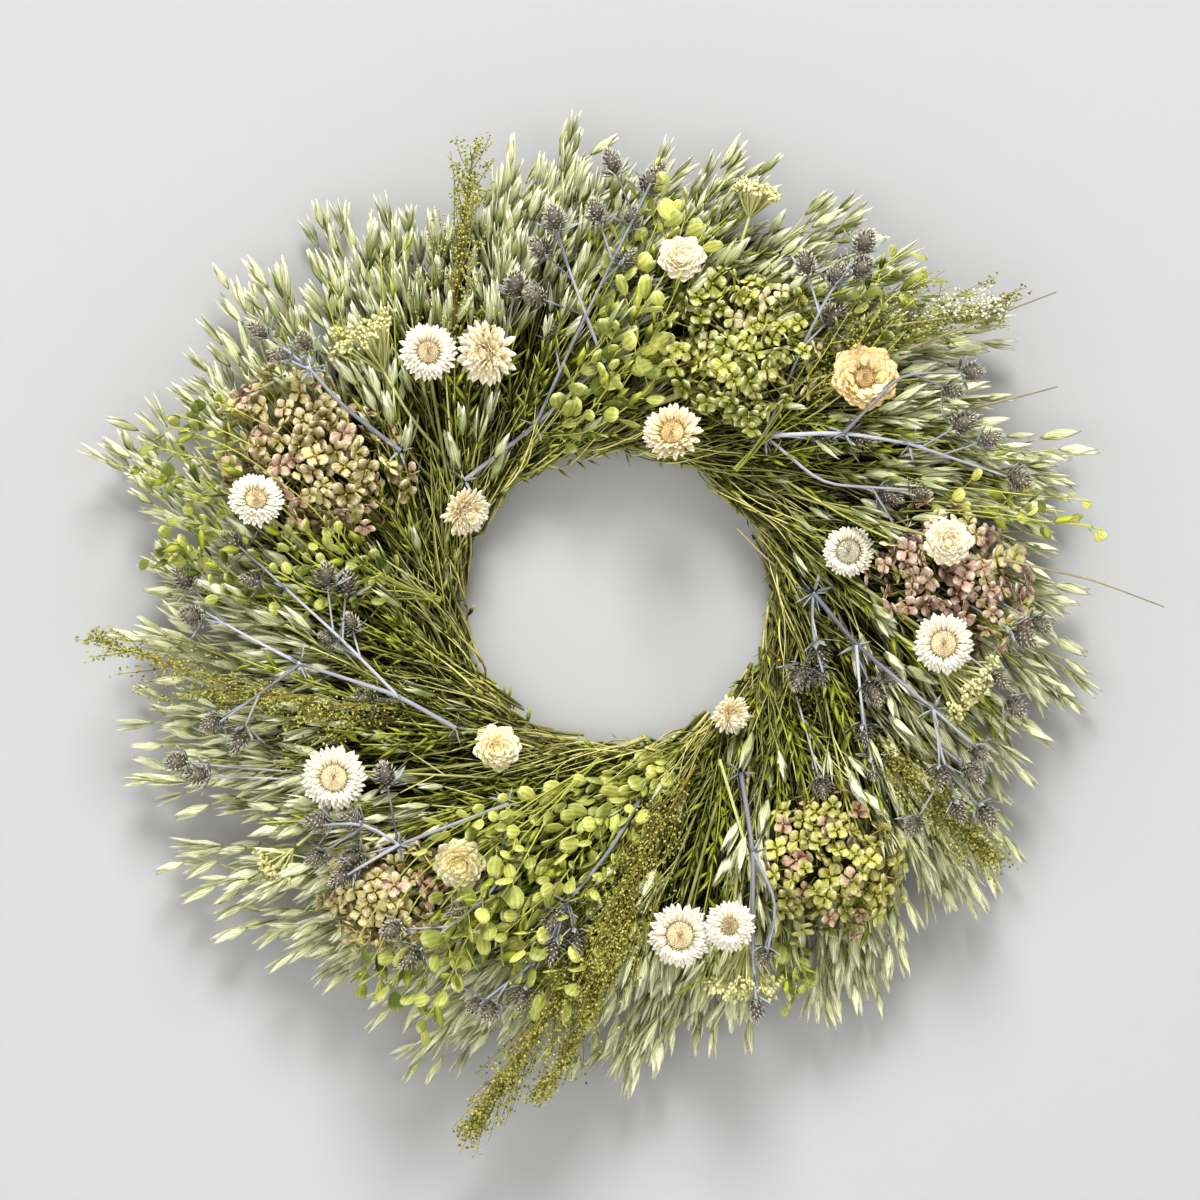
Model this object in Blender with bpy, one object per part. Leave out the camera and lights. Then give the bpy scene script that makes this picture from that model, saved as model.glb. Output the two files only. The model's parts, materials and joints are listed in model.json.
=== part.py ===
"""A dried flower wreath that hangs on a wall, faceted, in metres.

Bunches of dried oats are bound with thin wire to a round wire frame, each bunch lying clockwise over
the next. Hydrangea heads, strawflowers, sea holly, pennycress, sweet annie and yarrow are tucked in
on top, each with its stem running down to the stems of the bunches. X is to the right, Z is up, and
the wreath faces -Y. The origin is under the top of the wire frame, where the nail carries it.
"""

import math
import random

import bmesh
import bpy
import numpy as np
from mathutils import Matrix, Vector

# The wire frame and the wire that binds the bunches to it
RING_RADIUS = 0.1016
RING_WIRE = 0.0016
RING_STEPS = 30
BINDING_WIRE = 0.0006
CENTRE = Vector((0, 0, RING_WIRE - RING_RADIUS))

# Places are read from the photograph, where a pixel is this wide on the wreath
PIXEL = 0.00056
PHOTO_CENTRE = (617, 598)

# Every stem leaves the frame along this sweep: its radius grows with the angle it has turned
SWEEP_START = 0.0915
SWEEP_LINEAR = 0.0224
SWEEP_CUBIC = 0.134
SWEEP_LIMIT = 1.4

# The bound stems of a bunch, which are its handle
BUNCHES = 14
HANDLE_RADIUS = 0.008
HANDLE_TURNS = (0, 0.21, 0.42, 0.58, 0.74)
HANDLE_RADII = (HANDLE_RADIUS, HANDLE_RADIUS, HANDLE_RADIUS, 0.0064, 0.0036)
SEAT_TURNS = (0.05, 0.10, 0.15, 0.20, 0.25, 0.37, 0.41)
GRIP = 0.0004
HANDLE_DEPTH = RING_WIRE + HANDLE_RADIUS + GRIP
FIRST_TIP_ANGLE = 6
TIP_RADIUS = 0.27

# One turn of the binding wire, as sideways place in handle radii and height between back and front
TIE_LOOP = ((-0.3, 0), (-1.2, 0.35), (-0.85, 1), (0.9, 1), (1.25, 0.35), (0.3, 0))
TIE_TURN = 0.31
TIE_STEP = 0.012

# Free space kept between two pieces, and the space at a seat
CLEAR = 0.0003
SEAT = 0.00036

# What is tried for a stem until it misses everything: its depth at a point, and its place sideways
DEPTH_TRIES = (
    0, 0.003, -0.003, 0.006, -0.006, 0.010, -0.010, 0.014, -0.014, 0.019, -0.019, 0.025, 0.032, 0.040)
OAT_DEPTH_TRIES = (0, 0.002, -0.002, 0.004, -0.004, 0.007, -0.007, 0.010, -0.010, 0.014, -0.014)
SIDE_TRIES = (0, 0.004, -0.004, 0.008, -0.008, 0.013, -0.013)
SEAT_TRIES = 16
HOLLY_SEAT_TRIES = 12
TWIG_TRIES = 6
POD_TRIES = 14

# What makes one route worse than another: the depth it is off, the slope it is off, and a farther seat
DEPTH_OFF = 0.01
SLOPE_OFF = 0.006
SEAT_OFF = 0.4
LEAST_DEPTH = 0.008

# A head that would touch another is moved forward in these steps
LIFT_STEP = 0.0015
LIFT_STEPS = 40

# How far the oats reach from the centre, by the angle of their tips in degrees
REACH_ANGLES = (0, 15, 30, 55, 80, 100, 120, 135, 150, 167, 185, 205, 225, 245, 265, 285, 300, 320, 340, 360)
REACH = (0.284, 0.278, 0.284, 0.268, 0.268, 0.270, 0.266, 0.276, 0.292, 0.306, 0.284, 0.300, 0.266,
         0.268, 0.288, 0.262, 0.256, 0.252, 0.284, 0.284)

# Depth in front of the frame of the layer that the flowers and their stems lie in, by radius
FRONT_RADII = (0.100, 0.130, 0.160, 0.200, 0.240, 0.280, 0.310)
FRONT_DEPTHS = (0.018, 0.038, 0.056, 0.064, 0.060, 0.050, 0.042)

# An oat bunch: its long and short panicles as sideways turn, depth at the tip and share of the reach
OAT_PANICLES = (
    (-0.18, 0.010, 1.00), (-0.02, 0.020, 1.00), (0.15, 0.012, 0.96), (-0.11, 0.036, 0.86),
    (0.08, 0.044, 0.80),
)
OAT_NODES = (0, 0.32, 0.49, 0.66, 0.83, 1)
OAT_TRIES = 7
OAT_LEAVES_AT = 0.60
OAT_BLADE = 0.044
OAT_STEM = 0.0017
BACK_LIMIT = 0.001

# Hydrangea heads: photo place, radius across, tint
HYDRANGEAS = (
    ((738, 345), 0.045, "lime"), ((308, 455), 0.044, "blush"), ((950, 578), 0.039, "rose"),
    ((826, 862), 0.039, "moss"), ((388, 897), 0.034, "blush"),
)
HYDRANGEA_CENTRE_DEPTH = 0.046
HYDRANGEA_DEPTH_RADIUS = 0.025
HYDRANGEA_CORE = 0.76
HYDRANGEA_FLORETS = 9
FLORET_SHELL = 0.93
FLORET_RADIUS = 0.0175
FLORET_ROOT = 0.020
LARGEST_HEAD = 0.045
HYDRANGEA_STEM = 0.0022

# Strawflowers: photo place, radius, tilt to the right and upwards in degrees, tint
STRAWFLOWERS = (
    ((430, 355), 0.0165, 8, 4, "white"), ((488, 355), 0.0185, -22, -10, "white"),
    ((680, 263), 0.0135, 0, 6, "gold"), ((672, 435), 0.0160, -10, 22, "gold"),
    ((861, 381), 0.0190, 4, 6, "gold"), ((848, 552), 0.0145, -6, 6, "white"),
    ((942, 543), 0.0140, 0, 0, "gold"), ((938, 643), 0.0175, 0, 0, "white"),
    ((262, 502), 0.0155, 12, 25, "white"), ((465, 511), 0.0150, 35, -25, "white"),
    ((496, 748), 0.0135, 4, 0, "gold"), ((337, 776), 0.0190, 4, 8, "white"),
    ((461, 860), 0.0155, 0, -8, "gold"), ((679, 931), 0.0185, -2, 0, "white"),
    ((728, 921), 0.0150, -10, 4, "white"), ((731, 715), 0.0120, 25, -15, "white"),
)
STRAW_BRACTS = 8
STRAW_STEM = 0.0011
STRAW_BACK = 0.006
STRAW_LIFT = 0.006

# Sea holly sprays: stems as photo points from the root out, and heads as photo place and radius
SEA_HOLLY = (
    (((464, 480), (535, 425), (604, 363)), ((604, 363), (578, 297), (556, 236)),
     ((604, 363), (636, 318), (630, 296)), ((535, 425), (580, 330), (650, 190))),
    (((765, 436), (842, 434), (906, 446)), ((906, 446), (959, 464), (1008, 480)),
     ((842, 434), (896, 377), (956, 376)), ((765, 436), (822, 485), (905, 491))),
    (((814, 593), (855, 645), (929, 708)), ((929, 708), (952, 728), (974, 748)),
     ((855, 645), (858, 690), (862, 724)), ((929, 708), (934, 745), (953, 800)),
     ((814, 593), (812, 630), (822, 672))),
    (((741, 773), (752, 850), (750, 930), (754, 1000)), ((752, 850), (776, 900), (764, 950))),
    (((640, 800), (610, 850), (568, 898)), ((568, 898), (560, 915), (553, 938)),
     ((568, 898), (545, 950), (482, 998))),
    (((508, 804), (450, 824), (401, 842)), ((401, 842), (375, 856), (352, 870)),
     ((401, 842), (370, 818), (330, 820)), ((508, 804), (470, 880), (420, 938))),
    (((455, 728), (397, 694), (304, 663)), ((304, 663), (252, 636), (199, 606)),
     ((397, 694), (345, 640), (246, 548)), ((304, 663), (254, 700), (226, 720))),
    (((402, 452), (345, 408), (315, 373)), ((315, 373), (296, 362), (286, 352)),
     ((315, 373), (280, 345), (264, 336))),
)
HOLLY_STEM = 0.0014
HOLLY_HEAD = 0.0072
HOLLY_BRACT = 0.0135
HOLLY_FORWARD = 0.6
HOLLY_LIFT = 0.010
LONG_STRETCH = 75

# Pennycress, sweet annie and yarrow: photo points of the main stem from the root out
PENNYCRESS = (
    ((520, 440), (590, 385), (650, 290), (690, 190)), ((735, 470), (850, 350), (890, 285), (935, 245)),
    ((780, 520), (900, 505), (1010, 512), (1098, 524)), ((655, 760), (560, 820), (500, 890), (430, 965)),
    ((600, 760), (480, 850), (430, 900), (372, 1010)), ((440, 600), (330, 570), (230, 490), (140, 462)),
)
PODS = 10
POD_RADIUS = 0.0085
POD_THICKNESS = 0.0040
PENNYCRESS_LIFT = -0.010
FINE_STEM = 0.0010
SWEET_ANNIE = (
    ((690, 770), (630, 880), (560, 1000), (474, 1122)), ((470, 700), (330, 705), (220, 680), (104, 640)),
    ((455, 470), (452, 360), (470, 260), (486, 150)), ((770, 470), (850, 345), (930, 320), (1010, 300)),
    ((770, 650), (850, 720), (915, 780), (985, 850)),
)
PLUME_SPLIT = 4
PLUME_BARE = 4
PLUME_TWIG = 0.040
SWEET_ANNIE_LIFT = -0.006
YARROW = (
    ((455, 470), (412, 420), (372, 350)), ((720, 760), (752, 870), (742, 985)),
    ((800, 560), (890, 630), (968, 690)),
)
YARROW_RAYS = 7
YARROW_FORK = 0.94
YARROW_SPREAD = 0.8
YARROW_RAY = 0.019
YARROW_LIFT = -0.004

COLOURS = {
    "oat": (0.38, 0.43, 0.24), "lime": (0.47, 0.51, 0.19), "blush": (0.61, 0.51, 0.32),
    "rose": (0.50, 0.35, 0.27), "moss": (0.50, 0.46, 0.24), "white": (0.84, 0.79, 0.66),
    "gold": (0.76, 0.58, 0.30), "sea_holly": (0.21, 0.21, 0.28), "pennycress": (0.44, 0.50, 0.13),
    "sweet_annie": (0.26, 0.23, 0.06), "yarrow": (0.51, 0.48, 0.24), "ring_wire": (0.10, 0.12, 0.10),
    "binding_wire": (0.12, 0.17, 0.10),
}
METAL = ("ring_wire", "binding_wire")


def spot(place, depth):
    """The point at a place in the photograph, so far in front of the frame."""
    x, y = place
    return CENTRE + Vector(((x - PHOTO_CENTRE[0]) * PIXEL, -depth, (PHOTO_CENTRE[1] - y) * PIXEL))


def polar(radius, angle, depth):
    return CENTRE + Vector((radius * math.cos(angle), -depth, radius * math.sin(angle)))


def radius_of(point):
    return math.hypot(point.x, point.z - CENTRE.z)


def angle_of(point):
    return math.atan2(point.z - CENTRE.z, point.x)


def sweep_radius(turn):
    return SWEEP_START + SWEEP_LINEAR * turn + SWEEP_CUBIC * turn ** 3


def sweep_turn(radius):
    turns = np.linspace(0, SWEEP_LIMIT, 200)
    return float(np.interp(radius, sweep_radius(turns), turns))


def front_depth(radius):
    return float(np.interp(radius, FRONT_RADII, FRONT_DEPTHS))


def reach(angle):
    return float(np.interp(math.degrees(angle) % 360, REACH_ANGLES, REACH))


def nearest_between(start, end, starts, ends):
    """Distances from one line segment to many, by the closest points of each pair."""
    along, others, apart = end - start, ends - starts, start - starts
    a = max(float(along @ along), 1e-12)
    e = np.maximum((others * others).sum(1), 1e-12)
    f = (others * apart).sum(1)
    c = apart @ along
    b = others @ along
    s = np.clip((b * f - c * e) / np.maximum(a * e - b * b, 1e-18), 0, 1)
    t = (b * s + f) / e
    s = np.where(t < 0, np.clip(-c / a, 0, 1), np.where(t > 1, np.clip((b - c) / a, 0, 1), s))
    t = np.clip(t, 0, 1)
    gap = start + s[:, None] * along - starts - t[:, None] * others
    return np.sqrt((gap * gap).sum(1))


class Room:
    """The space that placed pieces take, as round-ended rods, so that the next one is bent clear."""

    def __init__(self):
        self.starts, self.ends = np.zeros((0, 3)), np.zeros((0, 3))
        self.radii, self.owners = np.zeros(0), np.zeros(0, int)
        self.names = []

    def take(self, owner, rods):
        if owner not in self.names:
            self.names.append(owner)
        number = self.names.index(owner)
        self.starts = np.vstack([self.starts, [tuple(rod[0]) for rod in rods]])
        self.ends = np.vstack([self.ends, [tuple(rod[1]) for rod in rods]])
        self.radii = np.append(self.radii, [rod[2] for rod in rods])
        self.owners = np.append(self.owners, [number] * len(rods))

    def gap(self, owner, rods):
        """The least space between these rods and every piece but this owner's."""
        number = self.names.index(owner) if owner in self.names else -1
        other = self.owners != number
        least = 1.0
        for start, end, radius in rods:
            far = nearest_between(np.array(start), np.array(end), self.starts[other], self.ends[other])
            if len(far):
                least = min(least, float((far - self.radii[other]).min()) - radius)
        return least


def rods_along(points, radius):
    return [(a, b, radius) for a, b in zip(points, points[1:])]


def material(name):
    found = bpy.data.materials.get(name)
    if found:
        return found
    made = bpy.data.materials.new(name)
    made.use_nodes = True
    shader = made.node_tree.nodes["Principled BSDF"]
    shader.inputs["Base Color"].default_value = (*COLOURS[name], 1)
    shader.inputs["Roughness"].default_value = 0.45 if name in METAL else 0.8
    shader.inputs["Metallic"].default_value = 0.8 if name in METAL else 0
    return made


def facing(direction):
    """The turn that takes Z to this direction."""
    return Vector(direction).to_track_quat("Z", "Y").to_matrix().to_4x4()


def object_of(builder):
    mesh = bpy.data.meshes.new("piece")
    builder.to_mesh(mesh)
    builder.free()
    return bpy.data.objects.new("piece", mesh)


def stem_mesh(points, radii, bevel_steps=0):
    """A stem or wire through these points. It has four sides, and two more for each bevel step."""
    curve = bpy.data.curves.new("stem", "CURVE")
    curve.dimensions = "3D"
    curve.bevel_depth = 1
    curve.bevel_resolution = bevel_steps
    curve.use_fill_caps = True
    spline = curve.splines.new("POLY")
    spline.points.add(len(points) - 1)
    for control, point, radius in zip(spline.points, points, radii):
        control.co = (*point, 1)
        control.radius = radius
    stem = bpy.data.objects.new("stem", curve)
    bpy.context.scene.collection.objects.link(stem)
    bpy.context.view_layer.update()
    mesh = bpy.data.meshes.new_from_object(stem.evaluated_get(bpy.context.evaluated_depsgraph_get()))
    builder = bmesh.new()
    builder.from_mesh(mesh)
    bmesh.ops.remove_doubles(builder, verts=builder.verts, dist=1e-6)
    builder.transform(stem.matrix_world)
    bpy.data.objects.remove(stem)
    bpy.data.curves.remove(curve)
    bpy.data.meshes.remove(mesh)
    return builder


def tube(points, radii, bevel_steps=0):
    return object_of(stem_mesh(points, radii, bevel_steps))


def feathered(points, radii, blades):
    """A stem whose side faces are drawn out to points. A blade lists its stretch, its side and its tip."""
    builder = stem_mesh(points, radii)
    builder.normal_update()
    for stretch, side, tip in blades:
        start, end = points[stretch], points[stretch + 1]
        middle, near = (start + end) / 2, (end - start).length * 0.3
        faces = [f for f in builder.faces if len(f.verts) == 4
                 and abs((f.calc_center_median() - middle).dot((end - start).normalized())) < near
                 and (f.calc_center_median() - middle).length < near + radii[stretch]]
        face = max(faces, key=lambda f: f.normal.dot(side))
        new = bmesh.ops.poke(builder, faces=[face])["verts"][0]
        new.co = tip
    return object_of(builder)


def turned(rings, sides, bottom, top, place):
    """A closed solid with a point at its bottom and its top, and rings of corners from bottom to top.

    A ring lists the radius and the rise of its corners in turn, and the list repeats round the ring.
    """
    builder = bmesh.new()
    bmesh.ops.create_uvsphere(builder, u_segments=sides, v_segments=len(rings) + 1, radius=1)
    builder.verts.ensure_lookup_table()
    flat = [v for v in builder.verts if abs(v.co.z) < 0.999]
    first = math.atan2(flat[0].co.y, flat[0].co.x)
    for vertex in builder.verts:
        number = round((1 - math.acos(max(-1, min(1, vertex.co.z))) / math.pi) * (len(rings) + 1))
        if number in (0, len(rings) + 1):
            vertex.co = (0, 0, top if number else bottom)
            continue
        ring = rings[number - 1]
        corner = round((math.atan2(vertex.co.y, vertex.co.x) - first) * sides / (2 * math.pi)) % sides
        radius, rise = ring[corner % len(ring)]
        angle = 2 * math.pi * corner / sides
        vertex.co = (radius * math.cos(angle), radius * math.sin(angle), rise)
    builder.transform(place)
    return object_of(builder)


def fuse(name, finish, pieces, collection):
    """Joins a node's repeats into one body with one Boolean, and removes what it was made from."""
    group = bpy.data.collections.new("joined")
    bpy.context.scene.collection.children.link(group)
    body = pieces[0]
    bpy.context.scene.collection.objects.link(body)
    if len(pieces) > 1:
        union = body.modifiers.new("join", "BOOLEAN")
        union.operand_type = "COLLECTION"
        union.operation = "UNION"
        union.solver = "MANIFOLD"
        union.collection = group
    for piece in pieces[1:]:
        group.objects.link(piece)
    bpy.context.view_layer.update()
    mesh = bpy.data.meshes.new_from_object(body.evaluated_get(bpy.context.evaluated_depsgraph_get()))
    for piece in pieces:
        bpy.data.objects.remove(piece)
    bpy.data.collections.remove(group)
    mesh.shade_flat()
    mesh.materials.clear()
    mesh.materials.append(material(finish))
    collection.objects.link(bpy.data.objects.new(name, mesh))


def ring_frame(room, collection):
    """The round wire frame that carries every bunch."""
    bpy.ops.mesh.primitive_torus_add(
        major_segments=RING_STEPS, minor_segments=5, major_radius=RING_RADIUS, minor_radius=RING_WIRE,
        location=CENTRE, rotation=(math.pi / 2, 0, 0))
    ring = bpy.context.object
    ring.name = "wire_ring"
    ring.data.shade_smooth()
    ring.data.materials.append(material("ring_wire"))
    for user in list(ring.users_collection):
        user.objects.unlink(ring)
    collection.objects.link(ring)
    stops = [polar(RING_RADIUS, 2 * math.pi * i / RING_STEPS, 0) for i in range(RING_STEPS + 1)]
    room.take("wire_ring", rods_along(stops, RING_WIRE))


def handle_points(butt_angle):
    return [polar(sweep_radius(t), butt_angle - t, HANDLE_DEPTH) for t in HANDLE_TURNS]


def butt_angles():
    """Where each bunch starts on the frame, so that the tips are evenly spaced."""
    tip_turn = sweep_turn(TIP_RADIUS)
    return [math.radians(FIRST_TIP_ANGLE + 360 * i / BUNCHES) + tip_turn for i in range(BUNCHES)]


def binding_wire(room, collection):
    """Thin wire that runs behind the frame and makes one turn round each handle and the frame."""
    points = []
    away = BINDING_WIRE + SEAT
    half = HANDLE_RADIUS + away + GRIP
    back = -RING_WIRE - away
    front = HANDLE_DEPTH + HANDLE_RADIUS + away + GRIP
    for butt in sorted(butt_angles(), reverse=True):
        for i, (side, height) in enumerate(TIE_LOOP):
            turn = TIE_TURN + TIE_STEP * (i - (len(TIE_LOOP) - 1) / 2)
            radius = (sweep_radius(turn) if height else RING_RADIUS) + side * half
            points.append(polar(radius, butt - turn, back + (front - back) * height))
    piece = tube(points, [BINDING_WIRE] * len(points))
    fuse("binding_wire", "binding_wire", [piece], collection)
    room.take("binding_wire", rods_along(points, BINDING_WIRE))


def seats(radius, near):
    """Places on the handles where a stem of this radius is tucked in, the nearest first."""
    found = []
    forward = Vector((0, -(HANDLE_RADIUS + radius + SEAT), 0))
    for butt in butt_angles():
        points = np.array(handle_points(butt))
        for turn in SEAT_TURNS:
            on_handle = Vector([np.interp(turn, HANDLE_TURNS, points[:, i]) for i in range(3)])
            found.append(((on_handle.xz - near.xz).length, on_handle + forward))
    return [point for _, point in sorted(found, key=lambda item: item[0])]


def find_route(room, owner, layers, radius):
    """The least bent way through one point of each layer whose stretches all miss other pieces.

    A layer lists points with their wanted depth. A stretch costs its change from the wanted slope, and
    a point costs its distance from the wanted depth.
    """
    costs, trails = [0.0] * len(layers[0]), [[item[0]] for item in layers[0]]
    for before, layer in zip(layers, layers[1:]):
        next_costs, next_trails = [], []
        for point, wanted in layer:
            off = -point.y - wanted
            choices = []
            for cost, trail, (start, start_wanted) in zip(costs, trails, before):
                bend = (-point.y - wanted) - (-start.y - start_wanted)
                choices.append((cost + (off / DEPTH_OFF) ** 2 + (bend / SLOPE_OFF) ** 2, trail))
            for cost, trail in sorted(choices, key=lambda item: item[0]):
                if cost == math.inf or room.gap(owner, [(trail[-1], point, radius)]) > CLEAR:
                    break
            else:
                cost = math.inf
            next_costs.append(cost)
            next_trails.append([*trail, point])
        costs, trails = next_costs, next_trails
    best = min(range(len(costs)), key=lambda i: costs[i], default=None)
    if best is None or costs[best] == math.inf:
        return math.inf, None
    return costs[best], trails[best]


def depth_layer(point, tries):
    """The tries for a point of a stem: its wanted depth, and depths in front of and behind it."""
    wanted = -point.y
    return [(Vector((point.x, -wanted - off, point.z)), wanted)
            for off in tries if wanted + off > LEAST_DEPTH]


def shifted(points, shift):
    """Points moved sideways round the wreath."""
    return [polar(radius_of(p), angle_of(p) + shift / radius_of(p), -p.y) for p in points]


def swept_points(seat, end, steps=5):
    """Points between a seat and a flower, first along the frame and then out."""
    start_angle, start_radius = angle_of(seat), radius_of(seat)
    turn = (angle_of(end) - start_angle + math.pi) % (2 * math.pi) - math.pi
    points = []
    for i in range(1, steps):
        share = i / steps
        depth = -seat.y + (seat.y - end.y) * share ** 1.3
        points.append(polar(start_radius + (radius_of(end) - start_radius) * share ** 1.5,
                            start_angle + turn * share ** 0.85, depth))
    return points


def with_foot(route, radius):
    """The route with its start moved back along its direction until its end lies on the handle."""
    direction = (route[1] - route[0]).normalized()
    forward = max(-direction.y, 0.01)
    back = radius * (1 - math.sqrt(max(0, 1 - forward * forward))) / forward
    return [route[0] - direction * back, *route[1:]]


def flower_stem(room, owner, end, radius, steps=4):
    """The stem of a flower, from the best seat on a handle to the back of the flower."""
    start = angle_of(end) + sweep_turn(radius_of(end)) - 0.25
    best = (math.inf, None)
    for number, seat in enumerate(seats(radius, polar(RING_RADIUS, start, 0))[:SEAT_TRIES]):
        layers = [depth_layer(p, DEPTH_TRIES) for p in swept_points(seat, end, steps)]
        cost, found = find_route(room, owner, [[(seat, -seat.y)], *layers, [(end, -end.y)]], radius)
        best = min(best, (cost + number * SEAT_OFF, found), key=lambda item: item[0])
    room.take(owner, rods_along(best[1], radius))
    return with_foot(best[1], radius)


def spray_stem(room, owner, starts, places, lift, radius, head_aim=None):
    """A stem of a spray through photo places. With an aim, it ends where a holly head has its space."""
    wanted = [laid(place, lift) for place in places]
    for shift in SIDE_TRIES:
        layers = [[(start, -start.y) for start in starts]]
        layers.extend(depth_layer(p, DEPTH_TRIES) for p in shifted(wanted, shift))
        if head_aim:
            layers[-1] = [item for item in layers[-1]
                          if room.gap(owner, holly_rods(item[0], head_aim)) > CLEAR]
        found = find_route(room, owner, layers, radius)[1]
        if found:
            room.take(owner, rods_along(found, radius))
            return with_foot(found, radius) if len(starts) > 1 else found
    return None


def lift_clear(room, owner, rods):
    """How far forward these rods have to move to miss every other piece."""
    for step in range(LIFT_STEPS):
        forward = Vector((0, -LIFT_STEP * step, 0))
        if room.gap(owner, [(a + forward, b + forward, r) for a, b, r in rods]) > CLEAR:
            return forward
    return forward


def golden_angle(i):
    return i * math.pi * (3 - math.sqrt(5))


def hydrangea_rods(centre, across):
    spread = across - HYDRANGEA_DEPTH_RADIUS + 0.002
    rods = []
    for i in range(8):
        angle = i * math.pi / 4
        rim = centre + Vector((spread * math.cos(angle), 0, spread * math.sin(angle)))
        rods.append((centre, rim, HYDRANGEA_DEPTH_RADIUS + 0.003))
    return rods


def hydrangea_head(centre, across, draw):
    """A small core that four-petalled florets stand out of."""
    core = (across * HYDRANGEA_CORE, HYDRANGEA_DEPTH_RADIUS * HYDRANGEA_CORE, across * HYDRANGEA_CORE)
    builder = bmesh.new()
    bmesh.ops.create_uvsphere(builder, u_segments=8, v_segments=4, radius=1)
    builder.transform(Matrix.Translation(centre) @ Matrix.Diagonal((*core, 1)))
    pieces = [object_of(builder)]
    for i in range(HYDRANGEA_FLORETS):
        forward = 0.97 - 1.25 * i / HYDRANGEA_FLORETS
        ring = math.sqrt(1 - forward * forward)
        angle = golden_angle(i)
        unit = Vector((ring * math.cos(angle), -forward, ring * math.sin(angle)))
        shell = Vector((unit.x * across, unit.y * HYDRANGEA_DEPTH_RADIUS, unit.z * across)) * FLORET_SHELL
        normal = Vector((unit.x / across, unit.y / HYDRANGEA_DEPTH_RADIUS, unit.z / across)).normalized()
        lean = Vector((draw.uniform(-1, 1), draw.uniform(-0.5, 0.5), draw.uniform(-1, 1))) * 0.2
        size = FLORET_RADIUS * across / LARGEST_HEAD * draw.uniform(0.93, 1.07)
        petals = [(size * 0.34, -0.0008), (size, 0.0006), (size, 0.0006)]
        place = Matrix.Translation(centre + shell) @ facing(normal + lean)
        place = place @ Matrix.Rotation(draw.uniform(0, 1.5), 4, "Z")
        pieces.append(turned([petals], 12, -FLORET_ROOT, 0.0022, place))
    return pieces


def hydrangeas(room, collection):
    draw = random.Random(11)
    for i, (place, across, tint) in enumerate(HYDRANGEAS, 1):
        name = f"hydrangea_{i:02d}"
        centre = spot(place, HYDRANGEA_CENTRE_DEPTH)
        centre = centre + lift_clear(room, name, hydrangea_rods(centre, across))
        room.take(name, hydrangea_rods(centre, across))
        inward = (CENTRE - Vector((centre.x, 0, centre.z))).normalized()
        end = centre + inward * across * 0.5 + Vector((0, HYDRANGEA_DEPTH_RADIUS * 0.3, 0))
        route = flower_stem(room, name, end, HYDRANGEA_STEM)
        stem = tube(route, [HYDRANGEA_STEM] * len(route))
        fuse(name, tint, [*hydrangea_head(centre, across, draw), stem], collection)


def straw_rods(centre, normal, radius):
    turn = facing(normal)
    rods = []
    for i in range(8):
        angle = i * math.pi / 4
        tip = turn @ Vector((math.cos(angle), math.sin(angle), 0.1)) * (radius - 0.0025)
        rods.append((centre, centre + tip, 0.0034))
    return [*rods, (centre, centre - normal * STRAW_BACK * 0.6, STRAW_BACK * 0.5)]


def strawflower_head(centre, normal, radius, turn):
    """Two layers of pointed bracts round a low disc."""
    outer = [(radius, 0.0004), (radius * 0.56, 0.0)]
    inner = [(radius * 0.46, 0.0016), (radius * 0.80, 0.0034)]
    disc = [(radius * 0.34, 0.0026)]
    place = Matrix.Translation(centre) @ facing(normal) @ Matrix.Rotation(turn, 4, "Z")
    return turned([outer, inner, disc], STRAW_BRACTS * 2, -STRAW_BACK, 0.0046, place)


def strawflowers(room, collection):
    draw = random.Random(23)
    for i, (place, radius, right, up, tint) in enumerate(STRAWFLOWERS, 1):
        name = f"strawflower_{i:02d}"
        centre = laid(place, STRAW_LIFT)
        normal = Vector((math.sin(math.radians(right)), -1, math.sin(math.radians(up)))).normalized()
        centre = centre + lift_clear(room, name, straw_rods(centre, normal, radius))
        room.take(name, straw_rods(centre, normal, radius))
        route = flower_stem(room, name, centre - normal * STRAW_BACK * 0.6, STRAW_STEM)
        head = strawflower_head(centre, normal, radius, draw.uniform(0, 1))
        fuse(name, tint, [head, tube(route, [STRAW_STEM] * len(route))], collection)


def laid(place, lift):
    """A photo place in the layer that the flowers lie in, or so far in front of that layer."""
    point = spot(place, 0)
    return spot(place, front_depth(radius_of(point)) + lift)


def holly_aim(places):
    """The way a head faces: on along its stem and a little forward."""
    (x0, y0), (x1, y1) = places[-2:]
    along = Vector((x1 - x0, 0, y0 - y1)).normalized()
    return (along + Vector((0, -HOLLY_FORWARD, 0))).normalized()


def holly_rods(point, aim):
    """The space that a head and its ruff take at the end of a stem."""
    return [(point, point + aim * HOLLY_HEAD, HOLLY_HEAD + 0.002),
            (point, point + aim * 0.001, HOLLY_BRACT * 0.9)]


def holly_head(base, aim):
    """A cone of small flowers in a ruff of spiny bracts, in one outline."""
    ruff = [(HOLLY_BRACT, 0.0), (HOLLY_HEAD * 0.5, -0.001)]
    cone = [(HOLLY_HEAD * 0.92, HOLLY_HEAD * 0.6), (HOLLY_HEAD, HOLLY_HEAD * 0.7)]
    place = Matrix.Translation(base) @ facing(aim)
    return turned([ruff, cone], 8, -0.004, HOLLY_HEAD * 2, place)


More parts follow.
